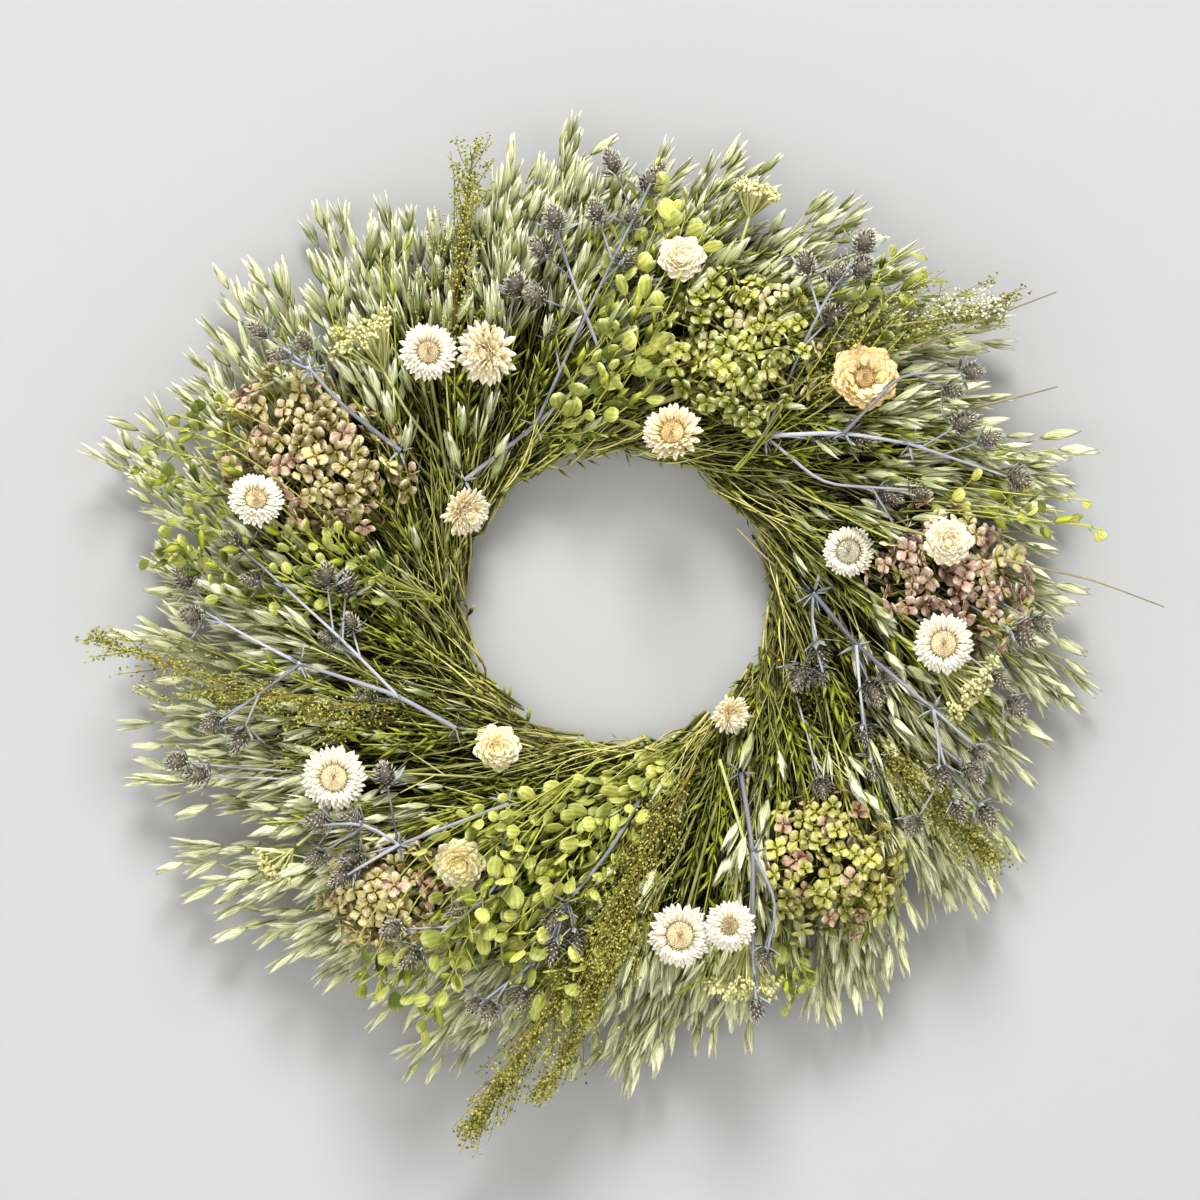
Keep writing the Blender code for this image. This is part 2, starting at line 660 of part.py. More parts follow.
def sea_hollies(room, collection):
    for i, stems in enumerate(SEA_HOLLY, 1):
        name = f"sea_holly_{i:02d}"
        made, forks = [], {}
        for number, places in enumerate(stems):
            last = number > 0 or places[-1] not in [s[0] for s in stems[1:]]
            aim = holly_aim(places)
            starts = seats(HOLLY_STEM, laid(places[0], 0))[:HOLLY_SEAT_TRIES]
            if number:
                starts = [forks[places[0]]]
            route = spray_stem(room, name, starts, densify(places)[1 if number else 0:], HOLLY_LIFT,
                               HOLLY_STEM, head_aim=aim if last else None)
            if route is None:
                continue
            for place, point in zip(reversed(densify(places)), reversed(route)):
                forks.setdefault(place, point)
            made.append(tube(route, [HOLLY_STEM] * len(route)))
            if last:
                room.take(name, holly_rods(route[-1], aim))
                made.append(holly_head(route[-1], aim))
        fuse(name, "sea_holly", made, collection)


def densify(places):
    """Photo places with one more half way along each long stretch."""
    found = []
    for (x0, y0), (x1, y1) in zip(places, places[1:]):
        found.append((x0, y0))
        if math.hypot(x1 - x0, y1 - y0) > LONG_STRETCH:
            found.append(((x0 + x1) / 2, (y0 + y1) / 2))
    return [*found, places[-1]]


def oat_line(butt_angle, side_turn, tip_depth, share):
    """The wanted line of one panicle, which leaves the handle inside it and fans out."""
    tip_angle = butt_angle - sweep_turn(TIP_RADIUS) + side_turn
    last = sweep_turn(reach(tip_angle) * share - OAT_BLADE * 0.75)
    points = []
    for part in OAT_NODES:
        turn = OAT_LEAVES_AT + (last - OAT_LEAVES_AT) * part
        depth = HANDLE_DEPTH + (tip_depth - HANDLE_DEPTH) * part ** 0.8
        points.append(polar(sweep_radius(turn), butt_angle - turn + side_turn * part, depth))
    return points


def oat_blades(room, owner, points, draw):
    """Pointed spikelets on both sides of a panicle and at its tip, each where it has the most space."""
    found = []
    for stretch in range(1, len(points) - 1):
        start, end = points[stretch], points[stretch + 1]
        direction = (end - start).normalized()
        across = direction.cross(Vector((0, 1, 0))).normalized()
        for hand in (-1, 1):
            front = hand if stretch % 2 else -hand
            side = across * hand + Vector((0, -front, 0))
            choices = []
            for _ in range(OAT_TRIES):
                aim = direction + across * hand * draw.uniform(0.25, 0.62)
                aim = (aim + Vector((0, -front * draw.uniform(0.0, 0.5), 0))).normalized()
                tip = (start + end) / 2 + aim * OAT_BLADE * draw.uniform(0.85, 1.1)
                rods = [(start, tip, OAT_STEM * 0.9), (end, tip, OAT_STEM * 0.9),
                        ((start + end) / 2, tip, OAT_STEM * 1.2)]
                if tip.y < BACK_LIMIT and room.gap(owner, rods) > CLEAR:
                    choices.append((room.gap("", [((end + tip) / 2, tip, OAT_STEM)]), tip, rods))
            if choices:
                _, tip, rods = max(choices, key=lambda item: item[0])
                room.take(owner, rods)
                found.append((stretch, side, tip))
    return found


def oat_bunches(room, collection):
    draw = random.Random(5)
    for i, butt in enumerate(butt_angles(), 1):
        name = f"oat_bunch_{i:02d}"
        made = [tube(handle_points(butt), HANDLE_RADII, bevel_steps=1)]
        for side_turn, tip_depth, share in OAT_PANICLES:
            for shift in SIDE_TRIES:
                line = oat_line(butt, side_turn + shift * 4, tip_depth, share)
                layers = [[(line[0], -line[0].y)], *[depth_layer(p, OAT_DEPTH_TRIES) for p in line[1:]]]
                route = find_route(room, name, layers, OAT_STEM)[1]
                if route:
                    break
            if not route:
                continue
            room.take(name, rods_along(route, OAT_STEM))
            blades = oat_blades(room, name, route, draw)
            radii = [OAT_STEM] * (len(route) - 1) + [OAT_STEM * 0.5]
            made.append(feathered(route, radii, blades))
        fuse(name, "oat", made, collection)


def along_route(points, share):
    """The point and direction at a share of a route's length."""
    lengths = [(b - a).length for a, b in zip(points, points[1:])]
    left = share * sum(lengths)
    for i, length in enumerate(lengths):
        if left <= length or i == len(lengths) - 1:
            direction = (points[i + 1] - points[i]).normalized()
            return points[i] + direction * min(left, length), direction
        left -= length


def leaving(direction, around, spread):
    """A direction that leaves a stem at an angle round it."""
    across = direction.cross(Vector((0, 1, 0))).normalized()
    side = across * math.cos(around) + Vector((0, -math.sin(around), 0))
    return (direction + side * spread).normalized()


def pod(base, aim, side, radius):
    """A flat round pod with its short stalk drawn out of its rim."""
    rim = [(radius * 2.1, 0)] + [(radius, 0)] * 5
    across = side.cross(aim).normalized()
    up = aim.cross(across)
    frame = Matrix((-aim, -across, up)).transposed().to_4x4()
    half = POD_THICKNESS / 2
    return turned([rim], 6, -half, half, Matrix.Translation(base + aim * radius * 2) @ frame)


def pennycress_sprays(room, collection):
    draw = random.Random(31)
    for i, places in enumerate(PENNYCRESS, 1):
        name = f"pennycress_{i:02d}"
        starts = seats(FINE_STEM, laid(places[0], 0))[:SEAT_TRIES]
        route = spray_stem(room, name, starts, places, PENNYCRESS_LIFT, FINE_STEM)
        if route is None:
            continue
        made = [tube(route, [FINE_STEM] * len(route))]
        for number in range(PODS):
            base, direction = along_route(route, 0.40 + 0.60 * (number + 0.7) / PODS)
            for _ in range(POD_TRIES):
                aim = leaving(direction, draw.uniform(0, 2 * math.pi), 0.9)
                side = aim.cross(Vector((draw.uniform(-1, 1), draw.uniform(-0.4, 0.4), draw.uniform(-1, 1))))
                radius = POD_RADIUS * draw.uniform(0.85, 1.1)
                rods = [(base + aim * 0.004, base + aim * 2.2 * radius, radius * 0.85)]
                if room.gap(name, rods) > CLEAR:
                    room.take(name, rods)
                    made.append(pod(base, aim, side, radius))
                    break
        fuse(name, "pennycress", made, collection)


def sweet_annie_plumes(room, collection):
    """Plumes of fine twigs that leave a stem to all sides."""
    draw = random.Random(47)
    for i, places in enumerate(SWEET_ANNIE, 1):
        name = f"sweet_annie_{i:02d}"
        starts = seats(FINE_STEM, laid(places[0], 0))[:SEAT_TRIES]
        route = spray_stem(room, name, starts, places, SWEET_ANNIE_LIFT, FINE_STEM)
        if route is None:
            continue
        points = [route[0]]
        for start, end in zip(route[1:], route[2:]):
            points.extend(start.lerp(end, part / PLUME_SPLIT) for part in range(PLUME_SPLIT))
        points.append(route[-1])
        blades = []
        for stretch in range(PLUME_BARE, len(points) - 1):
            start, end = points[stretch], points[stretch + 1]
            direction = (end - start).normalized()
            across = direction.cross(Vector((0, 1, 0))).normalized()
            share = stretch / len(points)
            for hand, front in ((-1, -1), (1, -1), (-1, 1), (1, 1)):
                side = across * hand + Vector((0, -front, 0))
                for _ in range(TWIG_TRIES):
                    aim = direction * 1.5 + across * hand * draw.uniform(0.3, 1.1)
                    aim = (aim + Vector((0, -front * draw.uniform(0.3, 1.1), 0))).normalized()
                    tip = (start + end) / 2 + aim * (PLUME_TWIG - 0.014 * share) * draw.uniform(0.8, 1.1)
                    rods = [(start, tip, FINE_STEM), (end, tip, FINE_STEM)]
                    if room.gap(name, rods) > CLEAR:
                        room.take(name, rods)
                        blades.append((stretch, side, tip))
                        break
        radii = [FINE_STEM] * (len(points) - 1) + [FINE_STEM * 0.6]
        fuse(name, "sweet_annie", [feathered(points, radii, blades)], collection)


def yarrow_heads(room, collection):
    """Flat heads: rays from one point, each ending in a small tuft."""
    for i, places in enumerate(YARROW, 1):
        name = f"yarrow_{i:02d}"
        starts = seats(FINE_STEM, laid(places[0], 0))[:SEAT_TRIES]
        route = spray_stem(room, name, starts, places, YARROW_LIFT, FINE_STEM)
        if route is None:
            continue
        made = [tube(route, [FINE_STEM] * len(route))]
        fork, direction = along_route(route, YARROW_FORK)
        for ray in range(YARROW_RAYS):
            spread = YARROW_SPREAD * math.sqrt((ray + 0.4) / YARROW_RAYS)
            aim = leaving(direction, golden_angle(ray), spread)
            rods = [(fork, fork + aim * YARROW_RAY, 0.001), (fork + aim * 0.022, fork + aim * 0.026, 0.0046)]
            if room.gap(name, rods) > CLEAR:
                room.take(name, rods)
                tuft = [[(0.0009, YARROW_RAY)], [(0.0050, 0.0245), (0.0036, 0.025)]]
                made.append(turned(tuft, 6, 0, 0.0275, Matrix.Translation(fork) @ facing(aim)))
        fuse(name, "yarrow", made, collection)


def take_handles(room):
    """Keeps the space of the handles before anything is tucked in between them."""
    for i, butt in enumerate(butt_angles(), 1):
        points = handle_points(butt)
        room.take(f"oat_bunch_{i:02d}", list(zip(points, points[1:], HANDLE_RADII)))


def main():
    for old in list(bpy.data.objects):
        bpy.data.objects.remove(old)
    collection = bpy.data.collections.new("dried_flower_wreath")
    bpy.context.scene.collection.children.link(collection)
    room = Room()
    ring_frame(room, collection)
    binding_wire(room, collection)
    take_handles(room)
    hydrangeas(room, collection)
    strawflowers(room, collection)
    sea_hollies(room, collection)
    oat_bunches(room, collection)
    pennycress_sprays(room, collection)
    sweet_annie_plumes(room, collection)
    yarrow_heads(room, collection)


main()
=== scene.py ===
# %% [markdown]
# # A dried flower wreath
#
# Fourteen bunches of dried oats are bound to a round wire frame, each lying clockwise over the next.
# Hydrangea, strawflowers, sea holly, pennycress, sweet annie and yarrow are tucked in on top.
# The frame of solids gives every piece its place. This lesson dresses each solid in its real detail.

# %% Load the solids and keep their box
import json
import math
import random

import bmesh
import bpy
import numpy as np
from mathutils import Matrix, Vector
from mathutils.bvhtree import BVHTree
from mathutils.geometry import barycentric_transform

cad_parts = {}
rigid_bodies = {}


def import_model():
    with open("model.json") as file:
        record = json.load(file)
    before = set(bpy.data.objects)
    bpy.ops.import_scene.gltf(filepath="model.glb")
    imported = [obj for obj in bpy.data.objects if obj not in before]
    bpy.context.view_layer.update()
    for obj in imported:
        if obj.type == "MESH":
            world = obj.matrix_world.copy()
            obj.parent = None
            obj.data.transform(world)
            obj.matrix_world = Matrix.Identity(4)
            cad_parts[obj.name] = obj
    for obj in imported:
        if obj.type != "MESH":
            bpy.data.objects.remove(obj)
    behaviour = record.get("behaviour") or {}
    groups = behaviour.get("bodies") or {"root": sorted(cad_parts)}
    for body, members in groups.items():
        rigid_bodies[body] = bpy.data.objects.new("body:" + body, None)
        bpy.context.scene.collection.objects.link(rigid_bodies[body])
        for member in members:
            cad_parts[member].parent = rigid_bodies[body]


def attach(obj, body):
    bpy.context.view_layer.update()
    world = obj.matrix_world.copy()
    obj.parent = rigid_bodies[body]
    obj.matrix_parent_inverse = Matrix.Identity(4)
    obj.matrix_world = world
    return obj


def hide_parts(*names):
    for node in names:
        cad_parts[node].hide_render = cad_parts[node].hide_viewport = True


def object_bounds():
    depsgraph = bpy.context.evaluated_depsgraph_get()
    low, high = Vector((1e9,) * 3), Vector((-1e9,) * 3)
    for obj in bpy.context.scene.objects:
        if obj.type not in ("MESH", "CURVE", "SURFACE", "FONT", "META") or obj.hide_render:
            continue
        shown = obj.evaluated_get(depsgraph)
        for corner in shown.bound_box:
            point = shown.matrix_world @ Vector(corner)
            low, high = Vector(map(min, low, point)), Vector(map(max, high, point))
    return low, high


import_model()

cad_low, cad_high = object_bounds()
print("CAD box in mm:", [round(1000 * side) for side in cad_high - cad_low])

# %% [markdown]
# ## Where things are
#
# The wreath hangs against a wall and faces the viewer, so a place on it is a place in the photograph
# and a depth in front of the wire ring. The ring's own solid gives the centre. The size of a pixel is
# a named value, so places can be written as they are read.

# %% Turn photo places into metres
PIXEL = 0.00056
PHOTO_CENTRE = (617, 598)
PHOTO_WIDTH = 1200
RING_BOX = np.array(bpy.data.objects["wire_ring"].bound_box)
CENTRE = (Vector(RING_BOX.min(0)) + Vector(RING_BOX.max(0))) / 2
UP = Vector((0, 0, 1))
FORWARD = Vector((0, -1, 0))


def spot(place, depth):
    """The point at a place in the photograph, so far in front of the ring."""
    x = (place[0] - PHOTO_CENTRE[0]) * PIXEL
    z = (PHOTO_CENTRE[1] - place[1]) * PIXEL
    return CENTRE + Vector((x, -depth, z))


def polar(radius, angle, depth):
    return CENTRE + Vector((radius * math.cos(angle), -depth, radius * math.sin(angle)))


def radius_of(point):
    return math.hypot(point.x - CENTRE.x, point.z - CENTRE.z)


def angle_of(point):
    return math.atan2(point.z - CENTRE.z, point.x - CENTRE.x)


def gap_between(first, second):
    """How far apart two points are, seen from the front."""
    return math.hypot(first.x - second.x, first.z - second.z)


print("wreath centre:", [round(value, 4) for value in CENTRE])

# %% [markdown]
# ## Reading depths from the solids
#
# A stem that crosses the wreath lies at the depth that its solid has. Seen from the front, the solid
# is a flat map: the nearest triangle on that map tells how deep the solid is there. A search tree
# over the flattened mesh answers this quickly.

# %% A reader for the depth of solids
def depth_reader(*names):
    """A function that gives the depth of these solids at or near a point seen from the front."""
    real, triangles = [], []
    for name in names:
        mesh = bpy.data.objects[name].data
        mesh.calc_loop_triangles()
        first = len(real)
        real.extend(vertex.co.copy() for vertex in mesh.vertices)
        triangles.extend([first + i for i in tri.vertices] for tri in mesh.loop_triangles)
    flat = [Vector((point.x, 0, point.z)) for point in real]
    tree = BVHTree.FromPolygons(flat, triangles)

    def depth_at(point):
        found, _, index, _ = tree.find_nearest(Vector((point.x, 0, point.z)))
        corners = triangles[index]
        area = (flat[corners[1]] - flat[corners[0]]).cross(flat[corners[2]] - flat[corners[0]]).length
        if area < 1e-9:
            return -sum((real[i].y for i in corners)) / 3
        return -barycentric_transform(found, *[flat[i] for i in corners], *[real[i] for i in corners]).y

    return depth_at


def front_of(name, point, within):
    """Depth of the frontmost corner of a solid near a point."""
    return max(-corner.co.y for corner in bpy.data.objects[name].data.vertices
               if gap_between(corner.co, point) < within)


def family(prefix):
    return sorted(o.name for o in bpy.data.objects if o.name.startswith(prefix))


families = {kind: family(kind) for kind in (
    "oat_bunch", "hydrangea", "strawflower", "sea_holly", "pennycress", "sweet_annie", "yarrow")}
print({kind: len(names) for kind, names in families.items()})

# %% [markdown]
# ## Where the blooms sit
#
# The five hydrangea heads and the sixteen strawflowers lie on top of all the rest. Nothing that is
# laid out later may cover them, so their places come first.

# %% List the blooms
# Photo place, radius, tint, how much the head is longer one way, and how pale it is
HYDRANGEAS = (
    ((738, 345), 0.045, "lime", 0.0, 0.0), ((312, 458), 0.044, "blush", 0.16, 0.0),
    ((950, 578), 0.039, "rose", 0.12, 0.1), ((826, 862), 0.039, "moss", 0.06, 0.15),
    ((388, 897), 0.034, "blush", 0.0, 0.55),
)
# Photo place, radius, tilt right and up, solid's colour, bract colour, disc colour, disc share, kind
STRAWFLOWERS = (
    ((430, 355), 0.0170, 8, 4, "white", "white", "beige", 0.34, "open"),
    ((488, 355), 0.0190, -22, -10, "white", "cream", "beige", 0.24, "spiky"),
    ((680, 263), 0.0140, 0, 6, "gold", "cream", "beige", 0.20, "broad"),
    ((672, 435), 0.0172, -10, 22, "gold", "cream", "ochre", 0.38, "shaggy"),
    ((861, 381), 0.0200, 4, 6, "gold", "gold", "ochre", 0.26, "cup"),
    ((848, 552), 0.0152, -6, 6, "white", "white", "ring", 0.42, "open"),
    ((942, 543), 0.0146, 0, 0, "gold", "cream", "beige", 0.18, "broad"),
    ((938, 643), 0.0175, 0, 0, "white", "white", "beige", 0.40, "open"),
    ((262, 502), 0.0165, 12, 25, "white", "white", "beige", 0.34, "open"),
    ((465, 511), 0.0150, 35, -25, "white", "cream", "beige", 0.30, "spiky"),
    ((496, 748), 0.0142, 4, 0, "gold", "butter", "beige", 0.16, "broad"),
    ((337, 776), 0.0190, 4, 8, "white", "white", "beige", 0.38, "open"),
    ((461, 860), 0.0160, 0, -8, "gold", "butter", "beige", 0.16, "broad"),
    ((679, 931), 0.0185, -2, 0, "white", "white", "beige", 0.40, "open"),
    ((728, 921), 0.0150, -10, 4, "white", "white", "beige", 0.26, "open"),
    ((731, 715), 0.0120, 25, -15, "white", "cream", "beige", 0.25, "spiky"),
)
# Share of a bloom's radius that stays free of all other forms
FREE_SHARES = ((STRAWFLOWERS, 1.02), (HYDRANGEAS, 0.86))
BLOOMS = [(spot(row[0], 0), row[1] * share) for rows, share in FREE_SHARES for row in rows]


def hides_bloom(point):
    """True where a form would cover a strawflower or a hydrangea head."""
    return any(gap_between(point, bloom) < radius for bloom, radius in BLOOMS)


print("blooms:", len(BLOOMS))

# %% [markdown]
# ## A bench for node trees
#
# Materials and Geometry Nodes are both trees of nodes. One small class adds a node from its type, its
# settings and its sockets, and another wraps a socket so that Python's operators add Math nodes.
# An expression such as `1 - tone * 0.5` then reads like the rule that it is.

# %% Wrap sockets and nodes
class Wire:
    """A value that runs from a node's output. Operators on it add Math nodes."""

    def __init__(self, bench, socket):
        self.bench, self.socket = bench, socket

    def maths(self, operation, *values):
        return self.bench.node("ShaderNodeMath", {"operation": operation}, dict(enumerate(values)))

    def __add__(self, other):
        return self.maths("ADD", self, other)

    def __radd__(self, other):
        return self.maths("ADD", other, self)

    def __sub__(self, other):
        return self.maths("SUBTRACT", self, other)

    def __rsub__(self, other):
        return self.maths("SUBTRACT", other, self)

    def __mul__(self, other):
        return self.maths("MULTIPLY", self, other)

    def __rmul__(self, other):
        return self.maths("MULTIPLY", other, self)

    def __truediv__(self, other):
        return self.maths("DIVIDE", self, other)

    def __pow__(self, other):
        return self.maths("POWER", self, other)

    def sine(self):
        return self.maths("SINE", self)

    def cosine(self):
        return self.maths("COSINE", self)


class Bench:
    """Adds nodes to one tree."""

    def __init__(self, tree):
        self.tree = tree

    def node(self, kind, settings=None, sockets=None, out=0):
        made = self.tree.nodes.new(kind)
        for name, value in (settings or {}).items():
            setattr(made, name, value)
        for name, value in (sockets or {}).items():
            if isinstance(value, Wire):
                self.join(value, made, name)
            else:
                made.inputs[name].default_value = value
        return Wire(self, made.outputs[out]) if made.outputs else made

    def mix(self, factor, first, second, blend="MIX"):
        """A blend of two colours."""
        return self.node("ShaderNodeMix", {"data_type": "RGBA", "blend_type": blend},
                         {0: factor, 6: first, 7: second}, out=2)

    def attribute(self, name):
        return self.node("ShaderNodeAttribute", {"attribute_name": name}, out=2)

    def fade(self, value, low, high, start=0.0, end=1.0):
        """Goes smoothly from start to end while a value goes from low to high."""
        return self.node("ShaderNodeMapRange", {"interpolation_type": "SMOOTHSTEP"}, {
            "Value": value, "From Min": low, "From Max": high, "To Min": start, "To Max": end})

    def chance(self, seed):
        return self.node("FunctionNodeRandomValue", {"data_type": "FLOAT"}, {"Seed": seed}, out=1)

    def join(self, wire, node, socket):
        self.tree.links.new(wire.socket, node.inputs[socket])


def tint(red, green, blue):
    """A colour as the eye names it, from 0 to 255, made linear for the renderer."""
    parts = [value / 255 for value in (red, green, blue)]
    return (*[((p + 0.055) / 1.055) ** 2.4 if p > 0.04 else p / 12.92 for p in parts], 1)


def new_material(name):
    """A material, the bench for its nodes and its shader."""
    made = bpy.data.materials.new(name)
    made.use_nodes = True
    return made, Bench(made.node_tree), made.node_tree.nodes["Principled BSDF"]


print("bench ready")

# %% [markdown]
# ## A finish for dried plants
#
# Dried leaves and petals are dull, uneven and paler towards the edges. Every small form carries three
# numbers on its points: `tone` differs from one to the next, `along` runs from its base to its tip and
# `across` from edge to edge. The material blends a deep and a pale colour by tone, goes to a tip
# colour along the form, draws veins across it and mottles it with noise in the object's space.
# It also paints shade: deep in the wreath, below its rounded front, the colour is darker, and it lightens
# again towards the back.

# %% Make the plant materials
# Painted shade: a rounded front of this radius, width and depth, below which colours darken
SHADE_RADIUS = 0.156
SHADE_WIDTH = 0.096
SHADE_DEPTH = 0.056
# Painted shade: depths between which the painted light rises and how much there is at both, behind the front
# and at the back
PAINTED_SHADE_FRONT = (-0.034, 0.002, 0.08, 1.0)
PAINTED_SHADE_BACK = (-0.018, -0.004, 0.0, 0.8)
# Noise in the object's space, in cycles a metre
FINE_NOISE = 260.0
PATCH_NOISE = 24.0


def painted_shade_at_depth(bench, place):
    """Painted shade: how much light a colour keeps at a depth between the stems, less below the wreath's
    rounded front.
    """
    axes = bench.node("ShaderNodeSeparateXYZ", {}, {"Vector": place})
    x, y, z = [Wire(bench, socket) for socket in axes.socket.node.outputs]
    right, above = x - CENTRE.x, z - CENTRE.z
    spread = (right * right + above * above) ** 0.5
    away = (spread - SHADE_RADIUS) / SHADE_WIDTH
    front = (1 - away * away) * SHADE_DEPTH
    before = bench.fade(y * -1.0 - front, *PAINTED_SHADE_FRONT)
    return before.maths("MAXIMUM", before, bench.fade(y, *PAINTED_SHADE_BACK))


def plant(name, deep, pale, tip, tip_from=0.5, veins=0.0, vein_count=9, vein_depth=0.25,
          mottle=0.25, rough=0.72, accent=None, accent_share=0.25, painted_depth_shade=True):
    """A dull dried surface, with painted shade that darkens it deep in the wreath unless that is turned off.
    """
    made, bench, shader = new_material(name)
    deep, pale, tip = [tint(*colour) for colour in (deep, pale, tip)]
    tone, along, across = [bench.attribute(word) for word in ("tone", "along", "across")]
    place = bench.node("ShaderNodeTexCoord", out=3)
    noise = bench.node("ShaderNodeTexNoise", {}, {"Vector": place, "Scale": FINE_NOISE, "Detail": 3.0})
    patches = bench.node("ShaderNodeTexNoise", {}, {"Vector": place, "Scale": PATCH_NOISE, "Detail": 2.0})
    ground = bench.mix(tone * 1.1 + patches * 0.6 - 0.35, deep, pale)
    if accent:
        other = (tone * 17.3).maths("FRACT", tone * 17.3)
        chosen = bench.fade(other + (patches - 0.5) * 1.6, 0.95 - accent_share, 1.1 - accent_share)
        ground = bench.mix(chosen, ground, tint(*accent))
    colour = bench.mix(bench.fade(along, tip_from, 1.0), ground, tip)
    stripes = (across * vein_count * math.pi).cosine() * 0.5 + 0.5
    colour = bench.mix(stripes * veins, colour, [part * (1 - vein_depth * 2) for part in deep[:3]] + [1])
    shade = 1 - mottle + noise * (2 * mottle)
    # Painted shade: the colour darkens with depth in the wreath.
    if painted_depth_shade:
        shade = shade * painted_shade_at_depth(bench, place)
    colour = bench.mix(1.0, colour, bench.node(
        "ShaderNodeCombineColor", {}, {0: shade, 1: shade, 2: shade}), "MULTIPLY")
    height = noise * 0.6 + stripes * (1.2 if veins else 0.0)
    normal = bench.node("ShaderNodeBump", {}, {"Height": height, "Strength": 0.25, "Distance": 0.0004})
    bench.join(colour, shader, "Base Color")
    bench.join(normal, shader, "Normal")
    shader.inputs["Roughness"].default_value = rough
    shader.inputs["Specular IOR Level"].default_value = 0.35
    return made


OAT_HUSK = plant("oat_husk", (138, 148, 82), (250, 250, 208), (252, 250, 224), tip_from=0.45,
                 veins=0.5, vein_count=5, vein_depth=0.16)
OAT_STEM = plant("oat_stem", (86, 88, 30), (238, 230, 154), (204, 206, 126), mottle=0.3)
# Painted shade: a near-black olive for the leaves under the oats and the cores of the hydrangea heads,
# standing for the shade between stems and florets.
PAINTED_SHADE_OLIVE = plant("leaf_in_shade", (34, 40, 6), (108, 116, 32), (120, 126, 44),
                   veins=0.4, vein_count=4)
HERB_LEAF = plant("herb_leaf", (62, 76, 10), (172, 178, 60), (184, 186, 88))
PENNY_POD = plant("pennycress_pod", (92, 104, 34), (214, 215, 118), (228, 230, 162),
                  tip_from=0.6, veins=0.26, vein_count=3, mottle=0.34, rough=0.6)
PENNY_STEM = plant("pennycress_stem", (138, 144, 58), (190, 190, 104), (190, 190, 104))
ANNIE_GRAIN = plant("sweet_annie_grain", (98, 102, 38), (196, 192, 104), (202, 200, 120))
ANNIE_STEM = plant("sweet_annie_stem", (100, 82, 34), (160, 142, 66), (152, 148, 64))
HOLLY_STEM = plant("sea_holly_stem", (84, 86, 94), (186, 187, 196), (152, 153, 161),
                   mottle=0.2, rough=0.6)
HOLLY_HEAD = plant("sea_holly_head", (88, 82, 72), (156, 147, 130), (230, 224, 202),
                   tip_from=0.30, mottle=0.3)
HOLLY_CORE = plant("sea_holly_core", (102, 95, 84), (148, 139, 124), (148, 139, 124))
HOLLY_BRACT = plant("sea_holly_bract", (112, 118, 114), (180, 184, 184), (208, 208, 200),
                    veins=0.5, vein_count=2)
YARROW_TUFT = plant("yarrow_tuft", (184, 178, 104), (234, 228, 172), (240, 236, 192))
YARROW_STEM = plant("yarrow_stem", (160, 162, 92), (208, 206, 146), (204, 202, 142))
STRAY_STEM = plant("stray_stem", (104, 94, 72), (176, 162, 128), (128, 118, 94))
WHITE_TUFT = plant("white_tuft", (206, 204, 184), (244, 244, 234), (250, 250, 244))
print("plant materials:", len(bpy.data.materials))

# %% [markdown]
# ## Hydrangea and strawflower colours
#
# Each hydrangea head has its own tint, from lime to dusky pink, and its sepals differ a little.
# Strawflower bracts are papery and shine a bit, with warmer bases or tips on the golden ones.

# %% Make the flower materials
def sepals(name, deep, pale, tip, accent, share):
    """Veined sepals, with a share of them in a second colour."""
    return plant("hydrangea_" + name, deep, pale, tip, 0.35, veins=0.25, vein_count=3, accent=accent,
                 accent_share=share, painted_depth_shade=False)


def papery(name, deep, pale, tip, tip_from=0.4):
    """Thin dry bracts with a slight gloss."""
    return plant("straw_" + name, deep, pale, tip, tip_from, veins=0.25, vein_count=4, vein_depth=0.06,
                 mottle=0.08, rough=0.42, painted_depth_shade=False)


def disc_florets(name, deep, pale, tip):
    return plant("disc_" + name, deep, pale, tip, 0.4, painted_depth_shade=False)


HYDRANGEA_TINTS = {
    "lime": sepals("lime", (108, 116, 28), (206, 206, 100), (244, 242, 190), (232, 216, 172), 0.10),
    "blush": sepals("blush", (104, 90, 38), (220, 206, 142), (244, 230, 194), (202, 166, 148), 0.20),
    "rose": sepals("rose", (122, 86, 76), (218, 184, 162), (244, 228, 204), (216, 208, 138), 0.35),
    "moss": sepals("moss", (114, 118, 38), (198, 196, 104), (232, 218, 168), (190, 150, 134), 0.24),
}
FLORET_HEART = plant("hydrangea_heart", (130, 124, 48), (176, 164, 78), (176, 164, 78), painted_depth_shade=False)
STRAW_TINTS = {
    "white": papery("white", (232, 222, 192), (250, 245, 226), (253, 249, 234), 0.3),
    "cream": papery("cream", (234, 214, 166), (249, 239, 208), (253, 247, 226)),
    "gold": papery("gold", (238, 212, 150), (251, 238, 198), (228, 178, 112), 0.66),
    "butter": papery("butter", (247, 226, 162), (253, 240, 190), (254, 248, 220)),
}
DISC_TINTS = {
    "ochre": disc_florets("ochre", (204, 170, 108), (230, 204, 146), (240, 222, 176)),
    "beige": disc_florets("beige", (206, 184, 140), (232, 214, 174), (240, 226, 192)),
    "ring": disc_florets("ring", (172, 166, 142), (208, 202, 180), (224, 216, 196)),
}
print("flower materials:", len(HYDRANGEA_TINTS) + len(STRAW_TINTS) + len(DISC_TINTS))

# %% [markdown]
# ## Two Geometry Nodes trees
#
# Nearly all of the wreath is either a stem or a small form that repeats. One tree turns lines of points
# into round stems, whose width is a number on each point. The other sets a form out on points: each
# point says which way the form aims, how far it is rolled and how large it is. Both realise their
# instances and set a material, so the result can be kept as a plain mesh.

